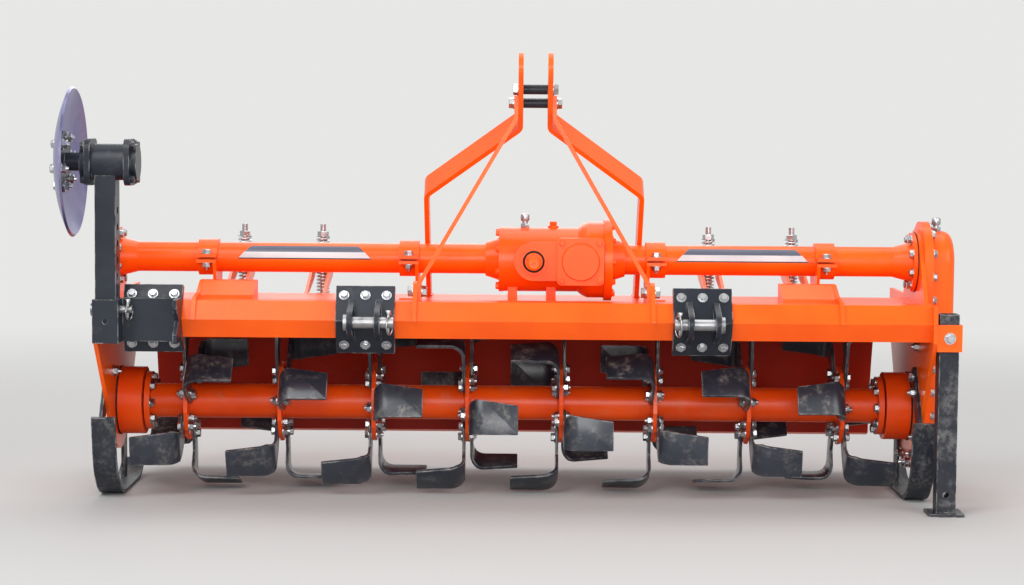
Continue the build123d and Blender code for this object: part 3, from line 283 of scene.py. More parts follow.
@dataclass(frozen=True)
class Paint:
    """A sprayed coat that gathers dust and wears through along its edges, and can take a painted shade on the faces
    that look towards the rotor.
    """

    name: str
    colour: Colour
    shade: Colour
    gloss: float
    dust: float
    wear: float
    dust_colour: Colour = (0.36, 0.25, 0.14)
    bare_colour: Colour = (0.42, 0.41, 0.40)
    coat: float = 0.15
    shine: float = 0.35
    patch: float = 9.0
    edge: float = 0.0025
    # Painted shade: the dark red colour of the faces that look towards the rotor's axis, such as the inside of the
    # hood.
    inner: Colour | None = None
    cloud_scale: float = 5.0
    grain_scale: float = 95.0
    chip_scale: float = 34.0
    skin_scale: float = 240.0

    def material(self) -> bpy.types.Material:
        """Make the coat.

        Returns:
            Its material.
        """
        graph = ShaderGraph(self.name)
        clouds = graph.noise(self.cloud_scale)
        grains = graph.noise(self.grain_scale, 6.0)
        coat = graph.blend(graph.ramp(clouds, 0.35, 0.7), self.colour, self.shade)
        # Painted shade: faces that look towards the rotor's axis turn to the dark inner colour.
        if self.inner:
            coat = graph.blend(graph.facing_axis(PLAN.rotor), coat, self.inner)
        patches = graph.ramp(graph.noise(self.patch, 8.0), 0.62 - 0.3 * self.dust, 0.86 - 0.3 * self.dust)
        lying = graph.ramp(graph.facing_up(), -0.6, 1.0, 0.35, 1.0)
        soil = graph.times(graph.times(patches, lying), graph.ramp(grains, 0.40, 0.60, 0.15, 1.0))
        soil = graph.times(soil, self.dust)
        coat = graph.blend(soil, coat, self.dust_colour)
        chips = graph.times(graph.edges(self.edge), graph.ramp(graph.noise(self.chip_scale, 5.0), 0.44, 0.62))
        coat = graph.blend(graph.times(chips, self.wear), coat, self.bare_colour)
        graph.join(coat, graph.surface.inputs["Base Color"])
        graph.join(graph.ramp(soil, 0.0, 1.0, self.gloss, 0.85), graph.surface.inputs["Roughness"])
        graph.fill(graph.surface, {"Specular IOR Level": self.shine, "Coat Weight": self.coat,
                                   "Coat Roughness": self.gloss * 0.6})
        graph.bump(graph.noise(self.skin_scale, 3.0), 0.12, 0.0006)
        return graph.material


@dataclass(frozen=True)
class Plate:
    """A bright metal surface with fine grain and a little tarnish."""

    name: str
    colour: Colour
    tarnish: Colour
    rough: float
    grain: tuple[float, float, float] = (1.0, 1.0, 1.0)
    stain: float = 0.5
    spot_scale: float = 22.0
    line_scale: float = 170.0

    def material(self) -> bpy.types.Material:
        """Make the metal.

        Returns:
            Its material.
        """
        graph = ShaderGraph(self.name)
        spots = graph.times(graph.ramp(graph.noise(self.spot_scale, 6.0), 0.45, 0.75), self.stain)
        graph.join(graph.blend(spots, self.colour, self.tarnish), graph.surface.inputs["Base Color"])
        lines = graph.noise(self.line_scale, 3.0, self.grain)
        rough = graph.ramp(lines, 0.2, 0.8, self.rough * 0.75, self.rough * 1.35)
        graph.join(rough, graph.surface.inputs["Roughness"])
        graph.fill(graph.surface, {"Metallic": 1.0})
        graph.bump(lines, 0.1, 0.0004)
        return graph.material


@dataclass(frozen=True)
class Ringed:
    """A pressed steel disc, blue-violet in colour, with turning marks round its axle."""

    name: str
    colour: Colour
    tarnish: Colour
    rough: float
    axle: Vector
    ring_scale: float = 60.0
    cloud_scale: float = 11.0

    def material(self) -> bpy.types.Material:
        """Make the disc's steel.

        Returns:
            Its material.
        """
        graph = ShaderGraph(self.name)
        mapping = graph.add("ShaderNodeMapping")
        graph.fill(mapping, {"Location": -self.axle})
        graph.join(graph.place, mapping.inputs["Vector"])
        rings = graph.add("ShaderNodeTexWave", wave_type="RINGS", rings_direction="X")
        graph.fill(rings, {"Scale": self.ring_scale, "Distortion": 1.5, "Detail": 3.0})
        graph.join(mapping.outputs[0], rings.inputs["Vector"])
        clouds = graph.ramp(graph.noise(self.cloud_scale, 6.0), 0.38, 0.7)
        graph.join(graph.blend(clouds, self.colour, self.tarnish), graph.surface.inputs["Base Color"])
        graph.join(graph.ramp(clouds, 0.0, 1.0, self.rough, self.rough + 0.2), graph.surface.inputs["Roughness"])
        graph.fill(graph.surface, {"Metallic": 0.8})
        graph.bump(rings.outputs["Fac"], 0.08, 0.0004)
        return graph.material


ORANGE = Paint("orange_gloss", (0.96, 0.118, 0.004), (0.90, 0.092, 0.003), 0.30, 0.10, 0.10, coat=0.08, shine=0.24)
SOILED_ORANGE = Paint("orange_soiled", (0.93, 0.088, 0.004), (0.82, 0.062, 0.004), 0.34, 0.36, 0.25,
                      (0.46, 0.34, 0.24), coat=0.08, shine=0.26, patch=16.0)
# Hood and board paint; the dark red on their inner faces is painted shade.
HOOD_ORANGE = Paint("orange_hood", (0.95, 0.105, 0.004), (0.86, 0.078, 0.004), 0.34, 0.22, 0.20, coat=0.06,
                    shine=0.24, inner=(0.42, 0.016, 0.003))
# Black paint: its blue tint is a painted reflection of the sky; the grey dust and worn edges are real.
BLACK = Paint("black_satin", (0.010, 0.013, 0.021), (0.019, 0.023, 0.033), 0.36, 0.24, 0.80, (0.33, 0.30, 0.27),
              coat=0.03, shine=0.26, patch=18.0, edge=0.004)
# Dusty black for the skids and stand: the blue tint is a painted reflection of the sky; the grey dust and worn
# edges are real.
DUSTY_BLACK = Paint("black_dusty", (0.013, 0.016, 0.024), (0.026, 0.029, 0.037), 0.42, 0.58, 0.90,
                    (0.36, 0.34, 0.33), coat=0.0, shine=0.26, patch=13.0, edge=0.005)
# Blade steel: the blue tint of its dark and lighter tones is a painted reflection of the sky; the grey-tan mud and
# pale worn edges are real.
BLADE = Paint("blade_black", (0.015, 0.020, 0.031), (0.034, 0.040, 0.055), 0.28, 0.52, 0.95, (0.42, 0.38, 0.34),
              (0.52, 0.49, 0.46), 0.08, 0.50, patch=26.0, edge=0.005)
RUBBER = Paint("seal_rubber", (0.012, 0.011, 0.011), (0.022, 0.020, 0.018), 0.65, 0.35, 0.0, coat=0.0, shine=0.2)
FILM_DARK = Paint("stripe_slate", (0.085, 0.095, 0.135), (0.100, 0.110, 0.150), 0.32, 0.10, 0.0)
FILM_PALE = Paint("stripe_silver", (0.62, 0.61, 0.62), (0.50, 0.49, 0.51), 0.30, 0.12, 0.0)
FILM_EDGE = Paint("stripe_ink", (0.020, 0.018, 0.024), (0.030, 0.027, 0.034), 0.32, 0.10, 0.0)
ZINC = Plate("zinc_plate", (0.45, 0.46, 0.48), (0.22, 0.21, 0.20), 0.30)
WORN_PIN = Plate("worn_pin", (0.34, 0.34, 0.35), (0.08, 0.075, 0.07), 0.36, (0.15, 1.0, 1.0), 0.85)
COIL = Plate("spring_wire", (0.60, 0.61, 0.63), (0.36, 0.35, 0.33), 0.33)
# Blue-violet metal with lighter blue-violet patches and turning rings round the axle.
DISC = Ringed("blue_violet_disc", (0.17, 0.17, 0.34), (0.30, 0.29, 0.46), 0.28, Vector((-1.09, -0.3139, 0.853)))

Finish = Paint | Plate | Ringed
FINISHES: dict[Slot, Finish] = {
    Slot.ORANGE: ORANGE,
    Slot.BLACK: BLACK,
    Slot.BLADE: BLADE,
    Slot.DISC: DISC,
    Slot.ZINC: ZINC,
    Slot.SPRING: COIL,
}
NODE_FINISHES: dict[str, Finish] = {
    "rotor_shaft": SOILED_ORANGE,
    "hood": HOOD_ORANGE,
    "trailing_board": HOOD_ORANGE,
    "bearing_hub_left": SOILED_ORANGE,
    "bearing_hub_right": SOILED_ORANGE,
    "skid_left": DUSTY_BLACK,
    "skid_right": DUSTY_BLACK,
    "stand_leg": DUSTY_BLACK,
    "hitch_pin_left": WORN_PIN,
    "hitch_pin_right": WORN_PIN,
    "arm_pin": WORN_PIN,
}


class Paintbox:
    """Makes each finish's material once and keeps it."""

    def __init__(self) -> None:
        """Start with no materials made."""
        self.made: dict[str, bpy.types.Material] = {}

    def get(self, finish: Finish) -> bpy.types.Material:
        """Give the material of a finish.

        Args:
            finish: The finish.

        Returns:
            Its material, made at the first call.
        """
        if finish.name not in self.made:
            self.made[finish.name] = finish.material()
        return self.made[finish.name]

    def dress_solids(self) -> None:
        """Paint every solid of the frame by its slot, or by its own finish."""
        slots = {part["node"]: Slot(part["material_slot"]) for part in frame["record"]["subparts"]}
        for name, node in frame["nodes"].items():
            finish = NODE_FINISHES.get(name, FINISHES[slots[name]])
            node.data.materials.clear()
            node.data.materials.append(self.get(finish))
        LOG.info("painted %d solids", len(slots))


PAINTBOX = Paintbox()


def place_along(at: Vector, out: Vector, turn: float = 0.0) -> Matrix:
    """Give the matrix that stands a shape's Z axis along a direction.

    Args:
        at: Where the shape's origin goes.
        out: The direction of its Z axis.
        turn: A turn about that axis, in radians.

    Returns:
        The placing matrix.
    """
    return Matrix.Translation(at) @ out.to_track_quat("Z", "Y").to_matrix().to_4x4() @ Matrix.Rotation(turn, 4, "Z")


def bake(mesh: bmesh.types.BMesh, name: str) -> bpy.types.Mesh:
    """Turn a bmesh into mesh data, and free it.

    Args:
        mesh: The shape.
        name: The data's name.

    Returns:
        The mesh data.
    """
    data = bpy.data.meshes.new(name)
    mesh.to_mesh(data)
    mesh.free()
    return data


def put_in_scene(name: str, data: bpy.types.ID) -> bpy.types.Object:
    """Make an object and link it into the scene.

    Args:
        name: The object's name.
        data: Its mesh, lamp or camera.

    Returns:
        The new object.
    """
    item = bpy.data.objects.new(name, data)
    bpy.context.scene.collection.objects.link(item)
    return item


def finish_piece(mesh: bmesh.types.BMesh, name: str, body: Body, finish: Finish,
                 smooth: float = 35.0) -> bpy.types.Object:
    """Turn a bmesh into a piece that rides on a body.

    Args:
        mesh: The shape, in place.
        name: The piece's name.
        body: The body that carries it.
        finish: The finish that it wears.
        smooth: Edges flatter than this angle are shaded smooth, in degrees.

    Returns:
        The new object.
    """
    data = bake(mesh, name)
    data.shade_smooth()
    data.set_sharp_from_angle(angle=math.radians(smooth))
    data.materials.append(PAINTBOX.get(finish))
    piece = put_in_scene(name, data)
    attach(piece, body.value)
    LOG.info("piece %s: %d faces on %s", name, len(data.polygons), body.value)
    return piece


def soften(mesh: bmesh.types.BMesh, geom: list, size: float, segments: int = 2, affect: str = "EDGES") -> None:
    """Bevel some edges or corners of a shape.

    Args:
        mesh: The shape.
        geom: The edges or the vertices.
        size: The bevel's width.
        segments: How many flats it has.
        affect: What is bevelled, EDGES or VERTICES.
    """
    bmesh.ops.bevel(mesh, geom=geom, offset=size, offset_type="OFFSET", segments=segments, profile=0.5,
                    affect=affect, material=-1)


def stamp(mesh: bmesh.types.BMesh, template: bpy.types.Mesh, place: Matrix) -> None:
    """Add a copy of a template to a shape.

    Args:
        mesh: The bmesh that gets the copy.
        template: The template's mesh data.
        place: The copy's placing matrix.
    """
    start = len(mesh.verts)
    mesh.from_mesh(template)
    mesh.verts.ensure_lookup_table()
    bmesh.ops.transform(mesh, matrix=place, verts=mesh.verts[start:])


@dataclass(frozen=True)
class Fastener:
    """A hex head or nut on a washer, with the end of its stud."""

    across: float
    head: float
    washer: float
    stud: float = 0.0
    washer_t: float = 0.0025
    chamfer: float = 0.0014
    overlap: float = 0.0001
    stud_sunk: float = 0.001
    stud_shares: tuple[float, float] = (0.30, 0.24)

    def template(self) -> bpy.types.Mesh:
        """Make one fastener standing on Z = 0.

        Returns:
            Its mesh data.
        """
        mesh = bmesh.new()
        radius = self.across / math.sqrt(3)
        made = bmesh.ops.create_cone(mesh, cap_ends=True, segments=6, radius1=radius, radius2=radius,
                                     depth=self.head,
                                     matrix=Matrix.Translation((self.washer_t + self.head / 2) * Z))
        top = max({f for v in made["verts"] for f in v.link_faces}, key=lambda f: f.calc_center_median().z)
        soften(mesh, list(top.edges), self.chamfer, 1)
        bmesh.ops.create_cone(mesh, cap_ends=True, segments=16, radius1=self.washer, radius2=self.washer,
                              depth=self.washer_t + 2 * self.overlap,
                              matrix=Matrix.Translation(self.washer_t / 2 * Z))
        if self.stud:
            wide, narrow = (self.across * share for share in self.stud_shares)
            middle = self.washer_t + self.head + self.stud / 2 - self.stud_sunk
            bmesh.ops.create_cone(mesh, cap_ends=True, segments=10, radius1=wide, radius2=narrow, depth=self.stud,
                                  matrix=Matrix.Translation(middle * Z))
        return bake(mesh, "fastener")


M8 = Fastener(0.013, 0.006, 0.0085)
M10 = Fastener(0.017, 0.008, 0.0125)
M12 = Fastener(0.019, 0.009, 0.0145)
M14 = Fastener(0.022, 0.010, 0.016)
M16 = Fastener(0.024, 0.011, 0.015)
NUT12 = Fastener(0.019, 0.010, 0.0145, 0.007)
NUT14 = Fastener(0.022, 0.011, 0.016, 0.009)
ROD_NUT = Fastener(0.027, 0.013, 0.019)
SET_BOLT = Fastener(0.019, 0.010, 0.0145)
STRAY_TURN = 0.37  # how much further each fastener is turned than the last, in radians


@dataclass(frozen=True)
class Seat:
    """Where a fastener sits and which way it points."""

    at: Vector
    out: Vector


def set_fasteners(name: str, kind: Fastener, seats: Sequence[Seat], body: Body = Body.FRAME,
                  slot: Slot = Slot.ZINC) -> None:
    """Set one kind of fastener on all its seats, as one piece.

    Args:
        name: The piece's name.
        kind: The fastener.
        seats: Where the fasteners sit.
        body: The body that carries them.
        slot: The slot whose finish they wear.
    """
    template = kind.template()
    mesh = bmesh.new()
    for index, seat in enumerate(seats):
        stamp(mesh, template, place_along(seat.at, seat.out, STRAY_TURN * index))
    bpy.data.meshes.remove(template)
    finish_piece(mesh, name, body, FINISHES[slot], 30.0)


def ring_seats(centre: Vector, radius: float, count: int, out: Vector, first: float = 0.0) -> Iterator[Seat]:
    """Give seats round an axis along X.

    Args:
        centre: The ring's middle.
        radius: The ring's radius.
        count: How many seats it has.
        out: The direction that the fasteners point.
        first: The angle of the first seat, in degrees.

    Returns:
        The seats, one at a time.
    """
    for index in range(count):
        angle = math.radians(first + 360 * index / count)
        yield Seat(centre + radius * (math.cos(angle) * Y + math.sin(angle) * Z), out)


def add_wire_ring(mesh: bmesh.types.BMesh, centre: Vector, axis: Vector, radius: float, wire: float) -> None:
    """Add a ring of round wire.

    Args:
        mesh: The bmesh that gets the ring.
        centre: The ring's middle.
        axis: The ring's axis.
        radius: The ring's radius to the middle of the wire.
        wire: The wire's radius.
    """
    others = set(mesh.verts)
    made = bmesh.ops.create_circle(mesh, segments=8, radius=wire,
                                   matrix=Matrix.Translation((radius, 0, 0)) @ Matrix.Rotation(math.pi / 2, 4, "X"))
    edges = list({edge for vert in made["verts"] for edge in vert.link_edges})
    bmesh.ops.spin(mesh, geom=made["verts"] + edges, cent=(0, 0, 0), axis=(0, 0, 1), angle=2 * math.pi, steps=32,
                   use_merge=True)
    ring = [vert for vert in mesh.verts if vert not in others]
    bmesh.ops.remove_doubles(mesh, verts=ring, dist=TINY)
    ring = [vert for vert in ring if vert.is_valid]
    bmesh.ops.recalc_face_normals(mesh, faces=list({face for vert in ring for face in vert.link_faces}))
    bmesh.ops.transform(mesh, matrix=place_along(centre, axis), verts=ring)


def add_rod(mesh: bmesh.types.BMesh, start: Vector, end: Vector, radius: float, segments: int = 12,
            bevel: float = 0.0) -> None:
    """Add a round rod with softened ends.

    Args:
        mesh: The bmesh that gets the rod.
        start: The middle of one end.
        end: The middle of the other end.
        radius: The rod's radius.
        segments: How many flats make up its round.
        bevel: How much its ends are bevelled.
    """
    made = bmesh.ops.create_cone(mesh, cap_ends=True, segments=segments, radius1=radius, radius2=radius,
                                 depth=(end - start).length,
                                 matrix=place_along((start + end) / 2, (end - start).normalized()))
    if bevel:
        caps = [f for f in {f for v in made["verts"] for f in v.link_faces} if len(f.verts) == segments]
        soften(mesh, list({edge for cap in caps for edge in cap.edges}), bevel)


@dataclass(frozen=True)
class Stage:
    """One round or hexagonal length of a turned piece."""

    length: float
    radius: float
    segments: int
    bevel: float = 0.0


NIPPLE = (Stage(0.006, 0.0055, 6, 0.0008), Stage(0.007, 0.0032, 12, 0.0010))
BREATHER = (Stage(0.012, 0.0125, 6, 0.001), Stage(0.005, 0.0075, 16), Stage(0.019, 0.0115, 20, 0.004))
FILLER_PLUG = (Stage(0.006, 0.014, 20, 0.001), Stage(0.011, 0.0105, 6, 0.001))


def add_turned(mesh: bmesh.types.BMesh, foot: Vector, out: Vector, stages: Sequence[Stage]) -> None:
    """Add a turned piece, one stage on top of the other.

    Args:
        mesh: The bmesh that gets it.
        foot: The middle of its foot.
        out: The direction that it points.
        stages: Its stages, from the foot.
    """
    for stage in stages:
        end = foot + stage.length * out
        add_rod(mesh, foot, end, stage.radius, stage.segments, stage.bevel)
        foot = end


@dataclass(frozen=True)
class LinchPin:
    """A linch pin through a larger pin's end, with its wire ring snapped over that end."""

    shank_r: float = 0.0042
    shank_below: float = 0.012
    shank_above: float = 0.006
    shank_bevel: float = 0.001
    head_r: float = 0.0075
    head_span: tuple[float, float] = (0.004, 0.016)
    head_bevel: float = 0.0015
    ring_gap: float = 0.012
    ring_wire: float = 0.0018
    ring_shift: float = 0.004
    ring_slant: float = 0.25

    def add(self, mesh: bmesh.types.BMesh, at: Vector, pin_r: float, inward: int) -> None:
        """Add one linch pin.

        Args:
            mesh: The bmesh that gets it.
            at: Where it goes through the larger pin's axis.
            pin_r: The larger pin's radius.
            inward: The side that the larger pin's end points to, 1 or -1.
        """
        low, high = at - (pin_r + self.shank_below) * Z, at + (pin_r + self.shank_above) * Z
        add_rod(mesh, low, high, self.shank_r, bevel=self.shank_bevel)
        low, high = (at + (pin_r + end) * Z for end in self.head_span)
        add_rod(mesh, low, high, self.head_r, bevel=self.head_bevel)
        axis = (inward * X - self.ring_slant * Y).normalized()
        add_wire_ring(mesh, at + self.ring_shift * (inward * X - Z), axis, pin_r + self.ring_gap, self.ring_wire)


WELD_NECK = 0.6  # a bead's narrow radius, as a share of its size
WELD_SWELL = 1.35  # how much a bead swells at a ripple
WELD_RIPPLE = 1.6  # a ripple's length, as a share of the bead's size


def add_weld(mesh: bmesh.types.BMesh, start: Vector, end: Vector, size: float = 0.0035) -> None:
    """Add a rippled weld bead along a straight joint.

    Args:
        mesh: The bmesh that gets the bead.
        start: Where the bead starts.
        end: Where it ends.
        size: The bead's radius.
    """
    along = (end - start).normalized()
    ripples = max(4, round((end - start).length / (WELD_RIPPLE * size)))
    step = (end - start) / ripples
    made = bmesh.ops.create_circle(mesh, cap_ends=True, segments=6, radius=size * WELD_NECK,
                                   matrix=place_along(start, along))
    face = made["verts"][0].link_faces[0]
    for index in range(ripples):
        grown = bmesh.ops.extrude_face_region(mesh, geom=[face])["geom"]
        verts = [item for item in grown if isinstance(item, bmesh.types.BMVert)]
        bmesh.ops.translate(mesh, vec=step, verts=verts)
        middle = start + step * (index + 1)
        scale = WELD_SWELL if index % 2 == 0 else 1 / WELD_SWELL
        bmesh.ops.scale(mesh, vec=(scale, scale, scale), space=Matrix.Translation(-middle), verts=verts)
        face = next(item for item in grown if isinstance(item, bmesh.types.BMFace))


@dataclass
class BladeBlank:
    """One right-hand blade: a flat blank folded along a slanting line, so that its wing's rear edge tilts inwards.

    It points straight down from a flange face at X = 0, with its leading edge towards +Y.
    """

    thick: float = 0.008
    half_leg: float = 0.024
    root: float = 0.050
    heel: float = 0.130
    drop: float = 0.226
    lead: float = 0.004
    chord: float = 0.090
    taper: float = 0.016
    reach: float = 0.125
    fold_r: float = 0.038
    fold_steps: int = 6
    relief: float = math.radians(28)
    root_share: float = 0.99
    nose_round: float = 0.045
    tip_round: float = 0.003
    corner_steps: int = 6
    rim_angle: float = math.radians(60)
    rim_round: float = 0.0014

    def __post_init__(self) -> None:
        """Work out the fold's directions and where it starts."""
        self.rearward = Vector((0, -math.cos(self.relief), math.sin(self.relief)))
        self.outward = Vector((0, -math.sin(self.relief), -math.cos(self.relief)))
        corner = Vector((0, -self.lead, -self.drop))
        self.front = corner.dot(self.rearward)
        self.face = corner.dot(self.outward)
        self.fold_at = self.face - self.fold_r
        self.fold_run = self.fold_r * math.pi / 2

    def on_wing(self, rearward: float, outward: float) -> Vector:
        """Give a point of the flat blank from its places along and across the fold."""
        return rearward * self.rearward + outward * self.outward

    def add_flat(self, mesh: bmesh.types.BMesh) -> None:
        """Add the flat blank as one face with rounded corners.

        Args:
            mesh: The bmesh that gets it.
        """
        tip = self.fold_at + self.fold_run + self.reach - self.fold_r
        rear = self.front + self.chord
        reach_out = (-self.front * math.cos(self.relief) - self.half_leg) / math.sin(self.relief)
        corners = (
            Vector((0, self.half_leg, -self.root)),
            Vector((0, -self.half_leg, -self.root)),
            Vector((0, -self.half_leg, -self.heel)),
            self.on_wing(rear, self.face),
            self.on_wing(rear - self.taper, tip),
            self.on_wing(self.front, tip),
            self.on_wing(self.front, reach_out),
        )
        verts = [mesh.verts.new(point) for point in corners]
        mesh.faces.new(verts)
        root_round = self.root_share * self.half_leg
        for group, size in ((verts[:2], root_round), (verts[4:6], self.tip_round), (verts[6:], self.nose_round)):
            soften(mesh, group, size, self.corner_steps, "VERTICES")

    def fold(self, mesh: bmesh.types.BMesh) -> None:
        """Cut the blank along the fold and bend what lies beyond towards +X.

        Args:
            mesh: The bmesh that holds the flat blank.
        """
        for step in range(self.fold_steps + 1):
            at = self.fold_at + self.fold_run * step / self.fold_steps
            bmesh.ops.bisect_plane(mesh, geom=[*mesh.verts, *mesh.edges, *mesh.faces], dist=TINY,
                                   plane_co=at * self.outward, plane_no=self.outward)
        for vert in mesh.verts:
            past = vert.co.dot(self.outward) - self.fold_at
            if past > 0:
                bent = min(past, self.fold_run)
                turn = bent / self.fold_r
                vert.co += (self.fold_r * math.sin(turn) - past) * self.outward
                vert.co += (self.fold_r * (1 - math.cos(turn)) + past - bent) * X

    def template(self) -> bpy.types.Mesh:
        """Make the blade at its full thickness, with softened edges.

        Returns:
            Its mesh data.
        """
        mesh = bmesh.new()
        self.add_flat(mesh)
        self.fold(mesh)
        bmesh.ops.recalc_face_normals(mesh, faces=mesh.faces)
        leg = max(mesh.faces, key=lambda face: face.calc_center_median().z)
        if leg.normal.x > 0:
            bmesh.ops.reverse_faces(mesh, faces=mesh.faces)
        bmesh.ops.solidify(mesh, geom=mesh.faces[:], thickness=self.thick)
        soften(mesh, [edge for edge in mesh.edges if edge.calc_face_angle(0.0) > self.rim_angle], self.rim_round)
        bmesh.ops.recalc_face_normals(mesh, faces=mesh.faces)
        return bake(mesh, "blade")


@dataclass
class Rotor:
    """The rotor's blades, bolts and welds."""

    flanges: int = 8
    pitch: float = 0.240
    flange_t: float = 0.010
    blade_t: float = 0.008
    per_flange: int = 6
    helix_start: float = -108.7
    helix_step: float = 11.25
    bolt_radii: tuple[float, float] = (0.062, 0.089)
    half_tube: float = 0.936
    end_ring: float = 0.060
    end_bolts: int = 8
    tube_r: float = 0.04445
    weld_r: float = 0.0035

    def middle(self, flange: int) -> Vector:
        """Give the middle of a flange, counted from the left."""
        return PLAN.rotor + (flange - (self.flanges - 1) / 2) * self.pitch * X

    def blade_places(self) -> Iterator[tuple[Vector, int, float]]:
        """Go through the blades, flange by flange.

        Returns:
            For each blade its flange's middle, the side of X that it bends to and its angle from straight down.
        """
        for flange in range(self.flanges):
            for turn in range(self.per_flange):
                angle = math.radians(self.helix_start + flange * self.helix_step + turn * 360 / self.per_flange)
                yield self.middle(flange), 1 if turn % 2 == 0 else -1, angle

    def blade_seats(self) -> tuple[list[Seat], list[Seat]]:
        """Find where the blades are bolted.

        Returns:
            The seats of the bolt heads and those of the nuts.
        """
        heads: list[Seat] = []
        nuts: list[Seat] = []
        for middle, hand, angle in self.blade_places():
            along = math.sin(angle) * Y - math.cos(angle) * Z
            for radius in self.bolt_radii:
                at = middle + radius * along
                heads.append(Seat(at + hand * (self.flange_t / 2 + self.blade_t) * X, hand * X))
                nuts.append(Seat(at - hand * self.flange_t / 2 * X, -hand * X))
        return heads, nuts

    def add_blades(self, name: str, hand: int) -> None:
        """Set all blades of one hand, in place of the solids.

        Args:
            name: The node that they replace.
            hand: 1 for the blades that bend to +X, -1 for the others.
        """
        template = BladeBlank().template()
        mesh = bmesh.new()
        for middle, side, angle in self.blade_places():
            if side == hand:
                seat = Matrix.Translation(middle + hand * self.flange_t / 2 * X)
                stamp(mesh, template, seat @ Matrix.Rotation(angle, 4, "X") @ Matrix.Scale(hand, 4, X))
        bmesh.ops.recalc_face_normals(mesh, faces=mesh.faces)
        bpy.data.meshes.remove(template)
        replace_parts(finish_piece(mesh, f"{name}_bent", Body.ROTOR, BLADE), name)

    def build(self) -> None:
        """Set the rotor's blades and fasteners, and weld its flanges."""
        self.add_blades("blades_right", 1)
        self.add_blades("blades_left", -1)
        heads, nuts = self.blade_seats()
        set_fasteners("blade_bolts", M12, heads, Body.ROTOR)
        set_fasteners("blade_nuts", NUT12, nuts, Body.ROTOR)
        ends = [seat for side in (-1, 1) for seat in ring_seats(PLAN.rotor + side * self.half_tube * X,
                                                                self.end_ring, self.end_bolts, -side * X)]
        set_fasteners("rotor_end_bolts", M12, ends, Body.ROTOR)
        mesh = bmesh.new()
        for flange in range(self.flanges):
            for side in (-1, 1):
                add_wire_ring(mesh, self.middle(flange) + side * self.flange_t / 2 * X, X, self.tube_r, self.weld_r)
        finish_piece(mesh, "rotor_welds", Body.ROTOR, SOILED_ORANGE)


